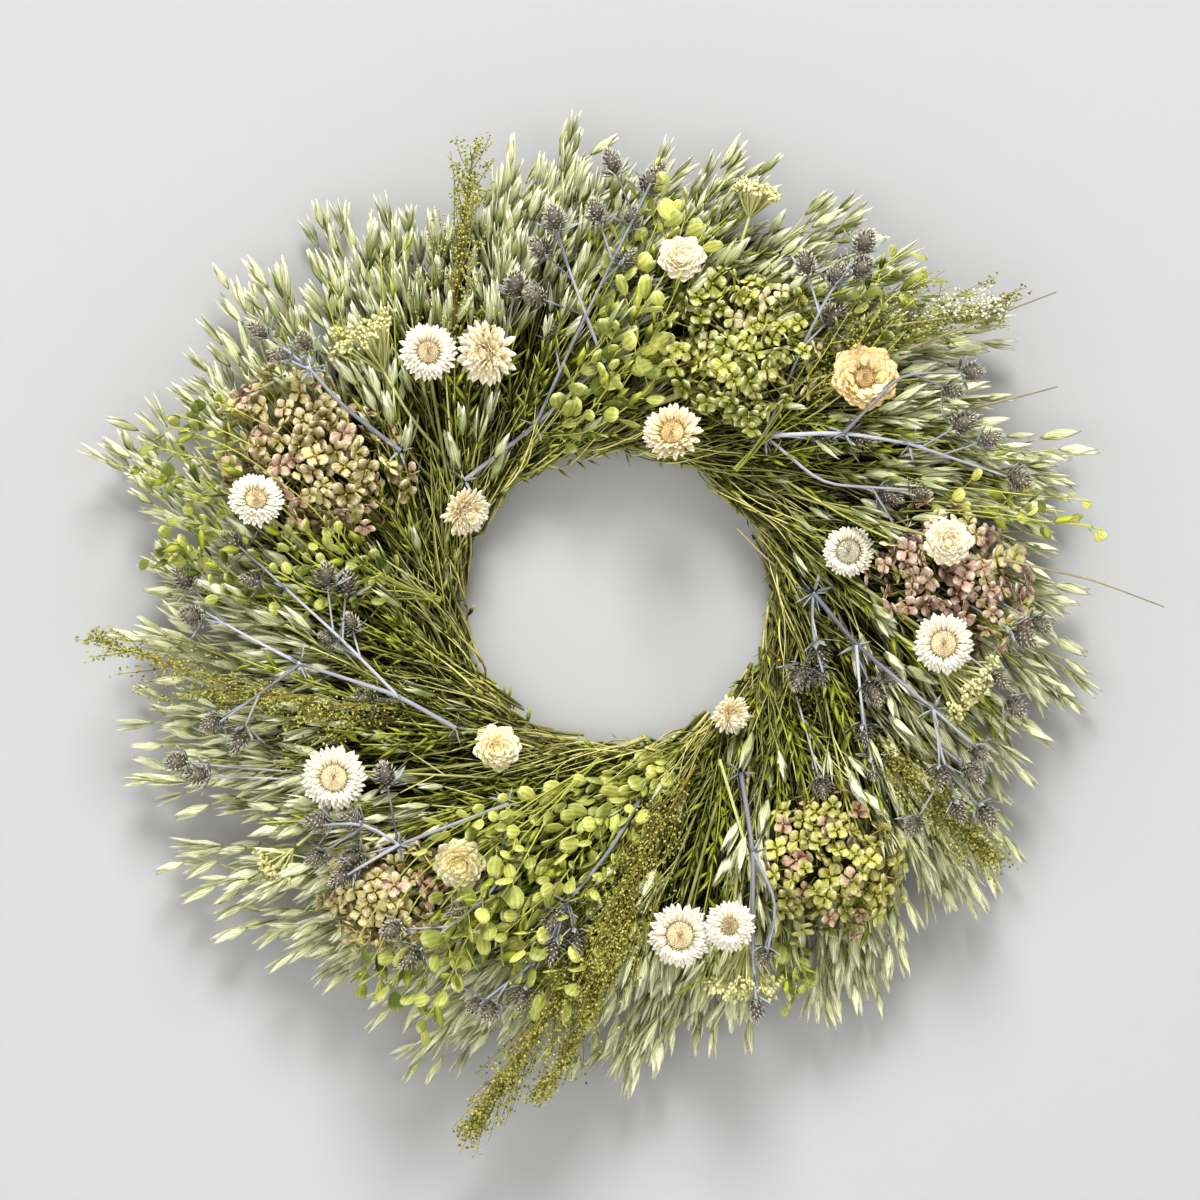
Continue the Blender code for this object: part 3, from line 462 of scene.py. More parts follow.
# %% Build the stem tree and the setting-out tree
def new_tree(name, inputs):
    tree = bpy.data.node_groups.new(name, "GeometryNodeTree")
    tree.is_modifier = True
    tree.interface.new_socket("Geometry", in_out="INPUT", socket_type="NodeSocketGeometry")
    for label, kind in inputs:
        tree.interface.new_socket(label, in_out="INPUT", socket_type="NodeSocket" + kind)
    tree.interface.new_socket("Geometry", in_out="OUTPUT", socket_type="NodeSocketGeometry")
    bench = Bench(tree)
    entry = tree.nodes.new("NodeGroupInput")
    given = {socket.name: Wire(bench, socket) for socket in entry.outputs if socket.name}
    return tree, bench, given


def finish_tree(bench, geometry, material):
    """Ends a tree with real geometry, smooth, in its material."""
    real = bench.node("GeometryNodeRealizeInstances", {}, {"Geometry": geometry})
    smooth = bench.node("GeometryNodeSetShadeSmooth", {}, {"Geometry": real})
    done = bench.node("GeometryNodeSetMaterial", {}, {"Geometry": smooth, "Material": material})
    bench.join(done, bench.tree.nodes.new("NodeGroupOutput"), 0)


def named(bench, name, kind="FLOAT"):
    return bench.node("GeometryNodeInputNamedAttribute", {"data_type": kind}, {"Name": name})


def build_stem_tree():
    tree, bench, given = new_tree("stems_from_lines", [("Sides", "Int"), ("Material", "Material")])
    curve = bench.node("GeometryNodeMeshToCurve", {}, {"Mesh": given["Geometry"]})
    ring_shape = bench.node("GeometryNodeCurvePrimitiveCircle", {}, {
        "Resolution": given["Sides"], "Radius": 1.0})
    stems = bench.node("GeometryNodeCurveToMesh", {}, {
        "Curve": curve, "Profile Curve": ring_shape, "Scale": named(bench, "width"), "Fill Caps": True})
    finish_tree(bench, stems, given["Material"])
    return tree


def build_setting_tree():
    tree, bench, given = new_tree("forms_on_points", [
        ("Form", "Object"), ("Size Variation", "Float"), ("Seed", "Int"), ("Material", "Material")])
    form = bench.node("GeometryNodeObjectInfo", {}, {"Object": given["Form"]}, out=4)
    aimed = bench.node("FunctionNodeAlignRotationToVector", {"axis": "Z"},
                       {"Vector": named(bench, "aim", "FLOAT_VECTOR")})
    roll = bench.node("ShaderNodeCombineXYZ", {}, {"Z": named(bench, "roll")})
    turned = bench.node("FunctionNodeRotateRotation", {"rotation_space": "LOCAL"}, {
        "Rotation": aimed, "Rotate By": bench.node("FunctionNodeEulerToRotation", {}, {"Euler": roll})})
    spread = given["Size Variation"]
    chance = bench.chance(given["Seed"])
    size = bench.node("ShaderNodeVectorMath", {"operation": "SCALE"}, {
        0: named(bench, "size", "FLOAT_VECTOR"), "Scale": 1 + spread * (chance * 2 - 1)})
    forms = bench.node("GeometryNodeInstanceOnPoints", {}, {
        "Points": given["Geometry"], "Instance": form, "Rotation": turned, "Scale": size})
    finish_tree(bench, forms, given["Material"])
    return tree


STEM_TREE = build_stem_tree()
SETTING_TREE = build_setting_tree()
print("trees:", STEM_TREE.name, len(STEM_TREE.nodes), SETTING_TREE.name, len(SETTING_TREE.nodes))

# %% [markdown]
# ## Lists of stems and places
#
# Python draws up the lists, because it can ask the solids for their depth, and the trees do the
# making. A list becomes a mesh whose points carry the numbers that its tree reads.

# %% Collect stems and places, and grow them
def new_object(name, data):
    """An object in the scene."""
    made = bpy.data.objects.new(name, data)
    bpy.context.scene.collection.objects.link(made)
    return made


def loose_object(name, points, edges, numbers, vectors):
    """A mesh of points and edges whose points carry these numbers and vectors."""
    mesh = bpy.data.meshes.new(name)
    mesh.from_pydata(points, edges, [])
    for label, values in numbers.items():
        mesh.attributes.new(label, "FLOAT", "POINT").data.foreach_set("value", values)
    for label, values in vectors.items():
        flat = np.array(values, dtype=np.float32).reshape(-1)
        mesh.attributes.new(label, "FLOAT_VECTOR", "POINT").data.foreach_set("vector", flat)
    return new_object(name, mesh)


def grown(source, tree, inputs):
    """The plain mesh object that a tree makes from this source."""
    modifier = source.modifiers.new("grow", "NODES")
    modifier.node_group = tree
    for item in tree.interface.items_tree:
        if item.item_type == "SOCKET" and item.in_out == "INPUT" and item.name in inputs:
            modifier[item.identifier] = inputs[item.name]
    bpy.context.view_layer.update()
    shown = source.evaluated_get(bpy.context.evaluated_depsgraph_get())
    made = new_object(source.name, bpy.data.meshes.new_from_object(shown))
    bpy.data.objects.remove(source)
    return made


class Stems:
    """Stems to be drawn, each as points with a width at its two ends and a tone."""

    def __init__(self):
        self.points, self.edges, self.width, self.tone, self.along = [], [], [], [], []

    def add(self, points, start_width, end_width, tone):
        first = len(self.points)
        self.points.extend(points)
        self.edges.extend((first + i, first + i + 1) for i in range(len(points) - 1))
        for i in range(len(points)):
            share = i / (len(points) - 1)
            self.width.append(start_width + (end_width - start_width) * share)
            self.tone.append(tone)
            self.along.append(share)

    def grow(self, name, material, sides=4):
        source = loose_object(name, self.points, self.edges, {
            "width": self.width, "tone": self.tone, "along": self.along,
            "across": [0.0] * len(self.points)}, {})
        return grown(source, STEM_TREE, {"Sides": sides, "Material": material})


class Places:
    """Places for a form, each with its aim, roll, size and tone."""

    def __init__(self):
        self.points, self.aim, self.roll, self.size, self.tone = [], [], [], [], []

    def add(self, point, aim, roll, size, tone):
        self.points.append(point)
        self.aim.append(aim)
        self.roll.append(roll)
        self.size.append(size if isinstance(size, tuple) else (size, size, size))
        self.tone.append(tone)

    def grow(self, name, form, material, variation=0.0, seed=1):
        source = loose_object(name, self.points, [], {"roll": self.roll, "tone": self.tone},
                              {"aim": self.aim, "size": self.size})
        return grown(source, SETTING_TREE, {
            "Form": form, "Size Variation": variation, "Seed": seed, "Material": material})


def dressed(name, parts, node, slot):
    """One object from several and the solid that it stands for. The slot of its finish is not used."""
    piece = parts[0]
    with bpy.context.temp_override(active_object=piece, selected_editable_objects=parts):
        bpy.ops.object.join()
    piece.name = name
    piece.data.name = name
    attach(piece, "root")
    if node:
        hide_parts(node)
    made_pieces.append(piece)
    return piece


def dress_family(kind, rows, dress):
    """Dresses each solid of a family from its row of values."""
    pieces = [dress(number, node, *row) for number, (node, row) in enumerate(zip(families[kind], rows), 1)]
    print(kind, "pieces:", len(pieces), "faces:", sum(len(piece.data.polygons) for piece in pieces))


def stand(parts, place, aim):
    """Moves parts from the origin to a place, with their Z along an aim."""
    placing = Matrix.Translation(place) @ aim.to_track_quat("Z", "Y").to_matrix().to_4x4()
    for part in parts:
        part.data.transform(placing)


made_pieces = []
print("lists ready")

# %% [markdown]
# ## Small forms
#
# A husk, a leaf, a petal or a bract is a thin closed solid. Each is lofted from a few rings of points
# and closed with a point at both ends, and its points know how far along and across they are. They
# have few faces, because each is set out hundreds of times.

# %% A helper that lofts small forms
class Form:
    """A small solid of lofted rings, with the place of each point along and across it."""

    def __init__(self):
        self.points, self.faces, self.along, self.across = [], [], [], []

    def point(self, place, along, across):
        self.points.append(tuple(place))
        self.along.append(along)
        self.across.append(across)
        return len(self.points) - 1

    def loft(self, rings, start, end, turn=None):
        """Rings are lists of points with their value across. The ends are single points."""
        turn = turn or Matrix.Identity(4)
        length = len(rings) + 1
        before = self.point(turn @ Vector(start), 0, 0)
        rows = [[self.point(turn @ Vector(p), (i + 1) / length, a) for p, a in ring]
                for i, ring in enumerate(rings)]
        after = self.point(turn @ Vector(end), 1, 0)
        sides = len(rows[0])
        for i in range(sides):
            j = (i + 1) % sides
            self.faces.append((before, rows[0][j], rows[0][i]))
            self.faces.append((after, rows[-1][i], rows[-1][j]))
            for low, high in zip(rows, rows[1:]):
                self.faces.append((low[i], low[j], high[j], high[i]))

    def make(self, name):
        mesh = bpy.data.meshes.new(name)
        mesh.from_pydata(self.points, [], self.faces)
        builder = bmesh.new()
        builder.from_mesh(mesh)
        bmesh.ops.recalc_face_normals(builder, faces=builder.faces)
        builder.to_mesh(mesh)
        builder.free()
        for edge in mesh.edges:
            edge.use_edge_sharp = all(abs(self.across[i]) == 1 for i in edge.vertices)
        mesh.attributes.new("along", "FLOAT", "POINT").data.foreach_set("value", self.along)
        mesh.attributes.new("across", "FLOAT", "POINT").data.foreach_set("value", self.across)
        forms.append(new_object(name, mesh))
        return forms[-1]


def blade_rings(stations, thickness, bend):
    """Rings of a thin blade along Z. A station is its height and half width, and bend its rise."""
    rings = []
    for height, half in stations:
        rise = bend(height)
        rings.append([((-half, rise, height), -1), ((0, rise + thickness, height), 0),
                      ((half, rise, height), 1), ((0, rise - thickness, height), 0)])
    return rings


forms = []
print("form helper ready")

# %% [markdown]
# ## The oat spikelet
#
# An oat spikelet is two boat-shaped husks, ribbed along their length, that part at the tip over a
# slimmer floret. It is 25 mm long. Each husk is four-sided, with a keel outside, and leans out a
# little, so the light catches a different side of each one.

# %% Form the oat spikelet and leaves
def husk(form, side, lean):
    rings = []
    for height, half, belly in ((0.12, 0.058, 0.036), (0.42, 0.112, 0.082), (0.76, 0.066, 0.050)):
        rings.append([((-half, 0.0, height), -1), ((0, belly, height), 0), ((half, 0.0, height), 1),
                      ((0, belly * 0.35, height), 0)])
    turn = Matrix.Rotation(side, 4, "Z") @ Matrix.Rotation(-lean, 4, "X")
    form.loft(rings, (0, 0, 0), (0, 0.01, 1), turn)


def form_spikelet():
    form = Form()
    husk(form, 0, 0.10)
    husk(form, math.pi, 0.13)
    inner = [[((0.045 * math.cos(a), 0.035 * math.sin(a), 0.5), 0) for a in (0, 2.1, 4.2)]]
    form.loft(inner, (0, 0, 0.1), (0.01, 0, 0.95))
    return form.make("spikelet_form")


def form_leaf(name, stations, thickness, curl):
    form = Form()
    form.loft(blade_rings(stations, thickness, lambda height: curl * height * height), (0, 0, 0),
              (0, curl, 1))
    return form.make(name)


SPIKELET = form_spikelet()
LONG_LEAF = form_leaf("long_leaf_form", ((0.2, 0.030), (0.5, 0.036), (0.8, 0.022)), 0.006, 0.08)
NARROW_LEAF = form_leaf("narrow_leaf_form", ((0.42, 0.095),), 0.03, 0.12)
print("spikelet faces:", len(SPIKELET.data.polygons))

# %% [markdown]
# ## The oat bunches
#
# Every stem of a bunch starts at the inner rim, runs clockwise along the ring, and then sweeps out.
# One rule gives that sweep: the radius grows with the angle turned, slowly at first. A bunch is a tight
# handle of about eighty stems. Some end in a panicle, whose side branches carry the spikelets.

# %% Lay out the sweep of the stems
BUNCHES = 14
SWEEP_START = 0.0915
SWEEP_LINEAR = 0.0224
SWEEP_CUBIC = 0.134
TIP_RADIUS = 0.27
FIRST_TIP_ANGLE = math.radians(6)
HANDLE_RADIUS = 0.0078
HANDLE_DEPTH = 0.0100
# How far the oats reach from the centre, every 15 degrees
REACH_ANGLES = range(0, 361, 15)
REACH = (0.264, 0.278, 0.270, 0.261, 0.264, 0.265, 0.277, 0.263, 0.284, 0.282, 0.283, 0.310, 0.280, 0.291,
         0.308, 0.288, 0.302, 0.280, 0.285, 0.271, 0.276, 0.278, 0.262, 0.274, 0.264)
# How far forward the wreath's rounded front is at these radii
LAYER_RADII = (0.100, 0.130, 0.160, 0.200, 0.240, 0.280, 0.310)
LAYER_DEPTHS = (0.018, 0.038, 0.056, 0.064, 0.060, 0.050, 0.042)
SPIKELET_LENGTH = 0.0224
PANICLES = 19
PANICLE_SPIKELETS = 15
PANICLE_SPREAD = 0.60
PANICLE_STEP = 0.618
# Turn where a stem starts to fan out, and turns between which it leaves its place in the handle
FAN_FROM = 0.20
LEAVES_HANDLE = (0.16, 0.66)
HOLE_RADIUS = 0.0813
HOLE_WIDER = 0.0034
# Length of a panicle's side twig at the stem's foot, and how much shorter it is at the tip
TWIG_LENGTH = 0.028
TWIG_SHORTER = 0.013
SHORTEST_SHARE = 0.72
TIP_DEPTHS = (0.008, 0.050)
# Radians from one side shoot to the next round its stem, and a full turn
NEXT_ROUND = 2.4
FULL_TURN = 6.28
OFF_WALL = 0.003


def sweep_radius(turn):
    return SWEEP_START + SWEEP_LINEAR * turn + SWEEP_CUBIC * max(turn, 0) ** 3


SWEEP_TABLE = np.linspace(0, 1.5, 300)
SWEEP_RADII = np.array([sweep_radius(turn) for turn in SWEEP_TABLE])


def sweep_turn(radius):
    return float(np.interp(radius, SWEEP_RADII, SWEEP_TABLE))


def reach(angle):
    return float(np.interp(math.degrees(angle) % 360, REACH_ANGLES, REACH))


def front_depth(radius):
    return float(np.interp(radius, LAYER_RADII, LAYER_DEPTHS))


TIP_TURN = sweep_turn(TIP_RADIUS)
BUTTS = [FIRST_TIP_ANGLE + 2 * math.pi * i / BUNCHES + TIP_TURN for i in range(BUNCHES)]
print("stems turn", round(math.degrees(TIP_TURN)), "degrees on their way out")


# %% Draw stems and panicles
def smooth(low, high, value):
    share = min(max((value - low) / (high - low), 0), 1)
    return share * share * (3 - 2 * share)


def blend(start, end, share):
    return start + (end - start) * share


def inner_rim(angle):
    """The hole is a little wider than it is high."""
    return HOLE_RADIUS + HOLE_WIDER * math.cos(2 * angle)


def stem_line(butt, start, last, offset, side_turn, tip_depth, steps):
    """A stem from its butt, which is sunk: in the handle it keeps its offset, and then it fans out."""
    points = []
    for i in range(steps):
        turn = start + (last - start) * i / (steps - 1)
        fan = smooth(FAN_FROM, last, turn)
        hold = 1 - smooth(*LEAVES_HANDLE, turn)
        angle = butt - turn + side_turn * fan
        radius = max(sweep_radius(turn) + offset[0] * hold, inner_rim(angle) + 0.0015)
        depth = HANDLE_DEPTH + offset[1] * hold + (tip_depth - HANDLE_DEPTH) * fan ** 0.8
        points.append(polar(radius, angle, depth * (0.4 + 0.6 * smooth(start, start + 0.3, turn))))
    return points


def across_of(direction):
    return direction.cross(FORWARD).normalized()


def side_of(direction, around):
    """Square to a direction and turned so far round it."""
    return across_of(direction) * math.cos(around) + FORWARD * math.sin(around)


def golden(number):
    """The angle of one of many forms that never line up."""
    return number * math.pi * (3 - math.sqrt(5))


def any_way(draw, most):
    return Vector([draw.uniform(-most, most) for _ in range(3)])


def place_on(line, share):
    """The point and direction at a share of a line."""
    place = share * (len(line) - 1)
    low = min(int(place), len(line) - 2)
    return line[low].lerp(line[low + 1], place - low), (line[low + 1] - line[low]).normalized()


def keep_off_wall(aim, point, length):
    """Turns an aim forward where its tip would reach the wall."""
    if -(point + aim * length).y < OFF_WALL:
        return Vector((aim.x, -abs(aim.y), aim.z)).normalized()
    return aim


def add_panicle(line, count, draw, stems, spikelets, begin=0.40, pale=0.0):
    """Side branches along the outer part of a line, each ending in a spikelet."""
    for number in range(count):
        share = begin + (1 - begin) * ((number + 0.5) / count) ** 0.75
        base, direction = place_on(line, share)
        around = number * NEXT_ROUND + draw.uniform(-0.5, 0.5)
        side = side_of(direction, around)
        aim = (direction + side * draw.uniform(0.22, 0.66)).normalized()
        length = (TWIG_LENGTH - TWIG_SHORTER * share) * draw.uniform(0.6, 1.4)
        aim = keep_off_wall(aim, base, length + SPIKELET_LENGTH)
        start = base + aim * length
        out = keep_off_wall((aim + direction * draw.uniform(0.1, 0.8) - UP * 0.12).normalized(), start,
                            SPIKELET_LENGTH)
        long = SPIKELET_LENGTH * draw.uniform(0.76, 1.12)
        wide = long * draw.uniform(0.92, 1.22)
        if hides_bloom(start + out * long * 0.5) or hides_bloom(start + out * long):
            continue
        stems.add([base, start], 0.00045, 0.0004, draw.random())
        spikelets.add(start, out, draw.uniform(0, FULL_TURN), (wide, wide, long), draw.random() * 0.85 + pale)
    end = line[-1]
    direction = (line[-1] - line[-2]).normalized()
    spikelets.add(end, direction, draw.uniform(0, FULL_TURN), SPIKELET_LENGTH, draw.random() * 0.85 + pale)


def handle_offset(number, count):
    radius = HANDLE_RADIUS * 1.1 * math.sqrt((number + 0.5) / count)
    return radius * math.cos(golden(number)), radius * math.sin(golden(number))


# %% [markdown]
# The inner rim is where a wreath shows how full it is. Long loose stems lie along the ring over the handles
# and hide their cut ends, and leaves behind them, painted near-black as shade, keep the wall from showing
# through.

# %% Dress every oat bunch
HANDLE_STEMS = 44
RIM_STEMS = 84
SHADE_LEAVES = 56
HERB_STEMS = 20
HERB_LEAVES = 22
RIM_STEPS = 12
STRAY_PANICLES = 3
STRAY_SPIKELETS = 5
# Painted light: husks of bunches that point to the sides or down are paler, by up to these shares, where the
# light from above reaches them less
SIDE_PAINTED_LIGHT = 0.34
MOST_PAINTED_LIGHT = 0.36


def leaf_along(line, count, begin, draw, leaves, spread, lengths):
    """Small leaves to all sides of a stem."""
    for j in range(count):
        base, direction = place_on(line, begin + (1 - begin) * (j + draw.random()) / count)
        around = j * NEXT_ROUND + draw.uniform(-0.6, 0.6)
        side = side_of(direction, around)
        aim = (direction + side * draw.uniform(*spread)).normalized()
        length = draw.uniform(*lengths)
        leaves.add(base, keep_off_wall(aim, base, length), draw.uniform(0, FULL_TURN), length, draw.random())


def rim_line(butt, draw, deepest=0.034):
    """A loose stem that runs along the ring and leaves it late."""
    start = butt + draw.uniform(-0.32, 0.32)
    turned = draw.uniform(0.45, 0.95)
    inset = deepest * draw.random() ** 1.3
    low, high = draw.uniform(0.004, 0.028), draw.uniform(0.010, 0.042)
    entry = draw.uniform(0.004, 0.016)
    lift = draw.uniform(0.02, 0.065)
    drift = draw.uniform(-0.002, 0.018)
    swing = draw.uniform(-0.0030, 0.0030)
    points = []
    for i in range(RIM_STEPS):
        share = i / (RIM_STEPS - 1)
        angle = start - turned * share
        radius = inner_rim(angle) + inset + drift * share + lift * share ** 2.6 + entry * (1 - share) ** 4
        wave = swing * math.sin(math.pi * (share * 2.2 + 0.2))
        depth = blend(low, high, share) * (0.25 + 0.75 * smooth(0, 0.35, share))
        points.append(polar(max(radius + wave, inner_rim(angle)), angle, depth))
    return points


# A leaf of the under layer near the wall, whose near-black colour is painted shade.
def shade_leaf(butt, draw, shade):
    turn = draw.uniform(0.05, 0.84)
    angle = butt - turn + draw.uniform(-0.25, 0.2)
    radius = sweep_radius(turn) + draw.uniform(0.002, 0.03) * (1 - turn)
    depth = draw.uniform(0.003, 0.020)
    base = polar(radius, angle, depth)
    ahead = polar(radius + 0.02 * turn + 0.004, angle - 0.16, depth)
    loose = any_way(draw, 0.22)
    length = draw.uniform(0.045, 0.075)
    aim = keep_off_wall(((ahead - base).normalized() + loose).normalized(), base, length)
    shade.add(base, aim, draw.uniform(-0.9, 0.9), (length * 1.5, length, length), draw.random())


def oat_bunch(number, node, butt):
    draw = random.Random(100 + number)
    stems, twigs, rim, spikelets = Stems(), Stems(), Stems(), Places()
    shade, herbs, leaves = Places(), Stems(), Places()
    # Painted light: paler husks on bunches that point to the sides or down.
    pale = min(SIDE_PAINTED_LIGHT * (1 - math.sin(butt - TIP_TURN)), MOST_PAINTED_LIGHT)
    for i in range(PANICLES):
        inside = (i / PANICLES) ** 1.5
        share = 1 - (1 - SHORTEST_SHARE) * inside
        side_turn = ((i * PANICLE_STEP) % 1 - 0.5) * PANICLE_SPREAD + draw.uniform(-0.05, 0.05)
        tip_depth = blend(*TIP_DEPTHS, inside) + draw.uniform(-0.002, 0.012)
        tip_angle = butt - TIP_TURN + side_turn
        last = sweep_turn(reach(tip_angle) * share * draw.uniform(0.88, 1.02) - SPIKELET_LENGTH)
        line = stem_line(butt, draw.uniform(-0.1, 0.1), last, handle_offset(i * 2.6, HANDLE_STEMS), side_turn,
                         tip_depth, 14)
        stems.add(line, 0.0011, 0.0006, draw.random())
        add_panicle(line[7:], PANICLE_SPIKELETS, draw, twigs, spikelets, pale=pale)
    for i in range(HANDLE_STEMS):
        line = stem_line(butt, draw.uniform(-0.20, 0.12), draw.uniform(0.62, 0.90),
                         handle_offset(i, HANDLE_STEMS), draw.uniform(-0.26, 0.24),
                         draw.uniform(0.004, 0.046), 11)
        stems.add(line, draw.uniform(0.0006, 0.0011), 0.0005, draw.random())
    for i in range(RIM_STEMS):
        line = rim_line(butt, draw)
        rim.add(line, draw.uniform(0.0004, 0.0010), 0.0003, draw.random())
        if i % 2:
            leaf_along(line, 10, 0.04, draw, leaves, (0.3, 0.9), (0.007, 0.014))
    for i in range(STRAY_PANICLES):
        line = rim_line(butt, draw, 0.012)
        add_panicle(line, STRAY_SPIKELETS, draw, twigs, spikelets, 0.45)
    for i in range(SHADE_LEAVES):
        shade_leaf(butt, draw, shade)
    for i in range(HERB_STEMS):
        last = draw.uniform(0.72, 0.98)
        line = stem_line(butt, draw.uniform(0.0, 0.3), last, handle_offset(i * 3, HANDLE_STEMS),
                         draw.uniform(-0.30, 0.26),
                         front_depth(sweep_radius(last)) * draw.uniform(0.5, 1.0), 12)
        herbs.add(line, 0.0008, 0.0005, draw.random())
        leaf_along(line, HERB_LEAVES, 0.25, draw, leaves, (0.45, 0.9), (0.010, 0.017))
    return dressed("oats_" + node[-2:], [
        stems.grow("oat_stems", OAT_STEM), twigs.grow("oat_twigs", OAT_STEM, 3),
        rim.grow("rim_stems", OAT_STEM, 3),
        spikelets.grow("oat_spikelets", SPIKELET, OAT_HUSK, 0.06, number),
        # The under-layer leaves, near-black as painted shade.
        shade.grow("oat_leaves", LONG_LEAF, PAINTED_SHADE_OLIVE, 0.1, number),
        herbs.grow("herb_stems", HERB_LEAF, 3),
        leaves.grow("herb_leaves", NARROW_LEAF, HERB_LEAF, 0.1, number),
    ], node, "oat")


dress_family("oat_bunch", [(butt,) for butt in BUTTS], oat_bunch)

# %% [markdown]
# ## Hydrangea heads
#
# A mophead is a dome of four-petalled florets that overlap. The florets sit on the solid's own dome,
# spread by the golden angle so that none repeats its neighbour, and each leans a little its own way.

# %% Form the floret and dress the heads
LONG_WAY = Vector((0.86, 0, -0.50))
HEAD_DEPTH = 0.025
FLORETS_ROUND = 172
FLORET_SIZE = 0.0087
FLORET_LEAN = 0.75
FLORET_DEPTHS = (-0.34, 0.18)
FULL_HEAD = 0.045
# Where the stems of blooms end on the ring: radius, turn back along the sweep and depths
SEAT_RADIUS = 0.105
SEAT_TURN = 0.35
LEAST_SEAT_TURN = 0.1
HEAD_SEAT_DEPTH = 0.018
STRAW_SEAT_DEPTH = 0.019
# How far each petal is lifted, in radians, and how long it is
PETALS = ((0.02, 1.0), (0.52, 0.84), (0.14, 0.94), (0.34, 0.90))


def form_floret():
    """Four rounded petals that cup a little, with a bead in the middle."""
    form = Form()
    for i, (lift, long) in enumerate(PETALS):
        turn = Matrix.Rotation(i * math.pi / 2, 4, "Z") @ Matrix.Rotation(math.pi / 2 - lift, 4, "Y")
        turn = turn @ Matrix.Scale(long, 4)
        stations = ((0.22, 0.18), (0.56, 0.40), (0.84, 0.31))
        rings = []
        for height, half in stations:
            rise = 0.05 * math.sin(height * 2.8)
            rings.append([((-rise * 0.4, -half, height), -1), ((-rise - 0.02, 0, height), 0),
                          ((-rise * 0.4, half, height), 1), ((-rise + 0.02, 0, height), 0)])
        form.loft(rings, (0, 0, 0.02), (0, 0, 1.0), turn)
    return form.make("floret_form")


def form_core():
    """A small rounded core that keeps the wall from showing between florets."""
    form = Form()
    rings = []
    for height in (0.12, 0.32, 0.5, 0.68, 0.88):
        half = 0.5 * math.sin(math.pi * height)
        rings.append([((half * math.cos(a), half * math.sin(a), height), 0)
                      for a in np.linspace(0, 2 * math.pi, 10, endpoint=False)])
    form.loft(rings, (0, 0, 0), (0, 0, 1))
    return form.make("core_form")


FLORET = form_floret()
BEAD = form_leaf("bead_form", ((0.3, 0.5), (0.7, 0.5)), 0.5, 0.0)
CORE = form_core()


def seat_of(centre, depth):
    """Where the stem of a bloom ends on the ring: back along the sweep."""
    turn = max(sweep_turn(radius_of(centre)) - SEAT_TURN, LEAST_SEAT_TURN)
    return polar(SEAT_RADIUS, angle_of(centre) + turn, depth)


def hydrangea_stem(node, centre, across):
    """The stem from the middle of a head to its seat, at the solid's depth."""
    inward = CENTRE - centre
    inward = Vector((inward.x, 0, inward.z)).normalized()
    foot = seat_of(centre, HEAD_SEAT_DEPTH)
    middle = (centre + inward * across * 0.5).lerp(foot, 0.5)
    middle.y = -depth_reader(node)(middle)
    stem = Stems()
    stem.add([centre, centre + inward * across * 0.5, middle, foot], 0.0022, 0.0018, 0.4)
    return stem.grow("hydrangea_stem", OAT_STEM, 6)


def hydrangea(number, node, place, across, colour, longer, pale):
    draw = random.Random(200 + number)
    at = spot(place, 0)
    depth = front_of(node, at, across * 0.6) - HEAD_DEPTH * 0.97
    centre = spot(place, depth)
    florets, hearts, stalks, core = Places(), Places(), Stems(), Places()
    count = round(FLORETS_ROUND * (across / FULL_HEAD) ** 2)
    for i in range(count):
        forward = 1 - 1.42 * (i + 0.5) / count
        ring = math.sqrt(1 - forward * forward)
        angle = golden(i) + draw.uniform(-0.1, 0.1)
        unit = Vector((ring * math.cos(angle), -forward, ring * math.sin(angle)))
        lump = 1 + 0.07 * math.sin(3 * angle + number) * ring + draw.uniform(*FLORET_DEPTHS)
        shell = Vector((unit.x * across * 0.95, unit.y * HEAD_DEPTH, unit.z * across * 0.95)) * lump
        narrower = Vector((shell.x, 0, shell.z)) * longer * 0.6
        shell += LONG_WAY * shell.dot(LONG_WAY) * longer * 1.6 - narrower
        normal = Vector((unit.x / across, unit.y / HEAD_DEPTH, unit.z / across)).normalized()
        aim = (normal + any_way(draw, FLORET_LEAN)).normalized()
        size = FLORET_SIZE * draw.uniform(0.70, 1.10)
        florets.add(centre + shell, aim, draw.uniform(0, FULL_TURN), size, draw.random() + pale)
        hearts.add(centre + shell + aim * 0.0002, aim, 0.0, 0.0017, draw.random())
        if i % 2 == 0:
            stalks.add([centre + shell * 0.5, centre + shell], 0.0006, 0.0005, draw.random())
    # A dark core fills the gaps between the florets: near-black painted shade.
    core.add(centre + Vector((0, HEAD_DEPTH * 0.55, -across * 0.70)), UP, 0.0,
             (across * 1.1, HEAD_DEPTH * 1.0, across * 1.40), 0.2)
    return dressed("hydrangea_head_" + node[-2:], [
        florets.grow("florets", FLORET, HYDRANGEA_TINTS[colour], 0.08, number),
        hearts.grow("floret_hearts", BEAD, FLORET_HEART),
        stalks.grow("floret_stalks", FLORET_HEART, 3),
        hydrangea_stem(node, centre, across),
        core.grow("head_core", CORE, PAINTED_SHADE_OLIVE),
    ], node, colour)


dress_family("hydrangea", HYDRANGEAS, hydrangea)

# %% [markdown]
# ## Strawflowers
#
# A strawflower is a disc of tiny florets in many rows of stiff papery bracts. The outer rows lie flat
# and the inner ones stand up and close over the disc when the flower dries. Tilt, rise and
# length change from the outer row to the inner one, so a third tree makes the head from those
# few numbers, by the golden angle.

# %% Build the flower head tree
ROWS = ("Outer", "Inner")
MEASURES = ("Radius", "Rise", "Tilt", "Size")


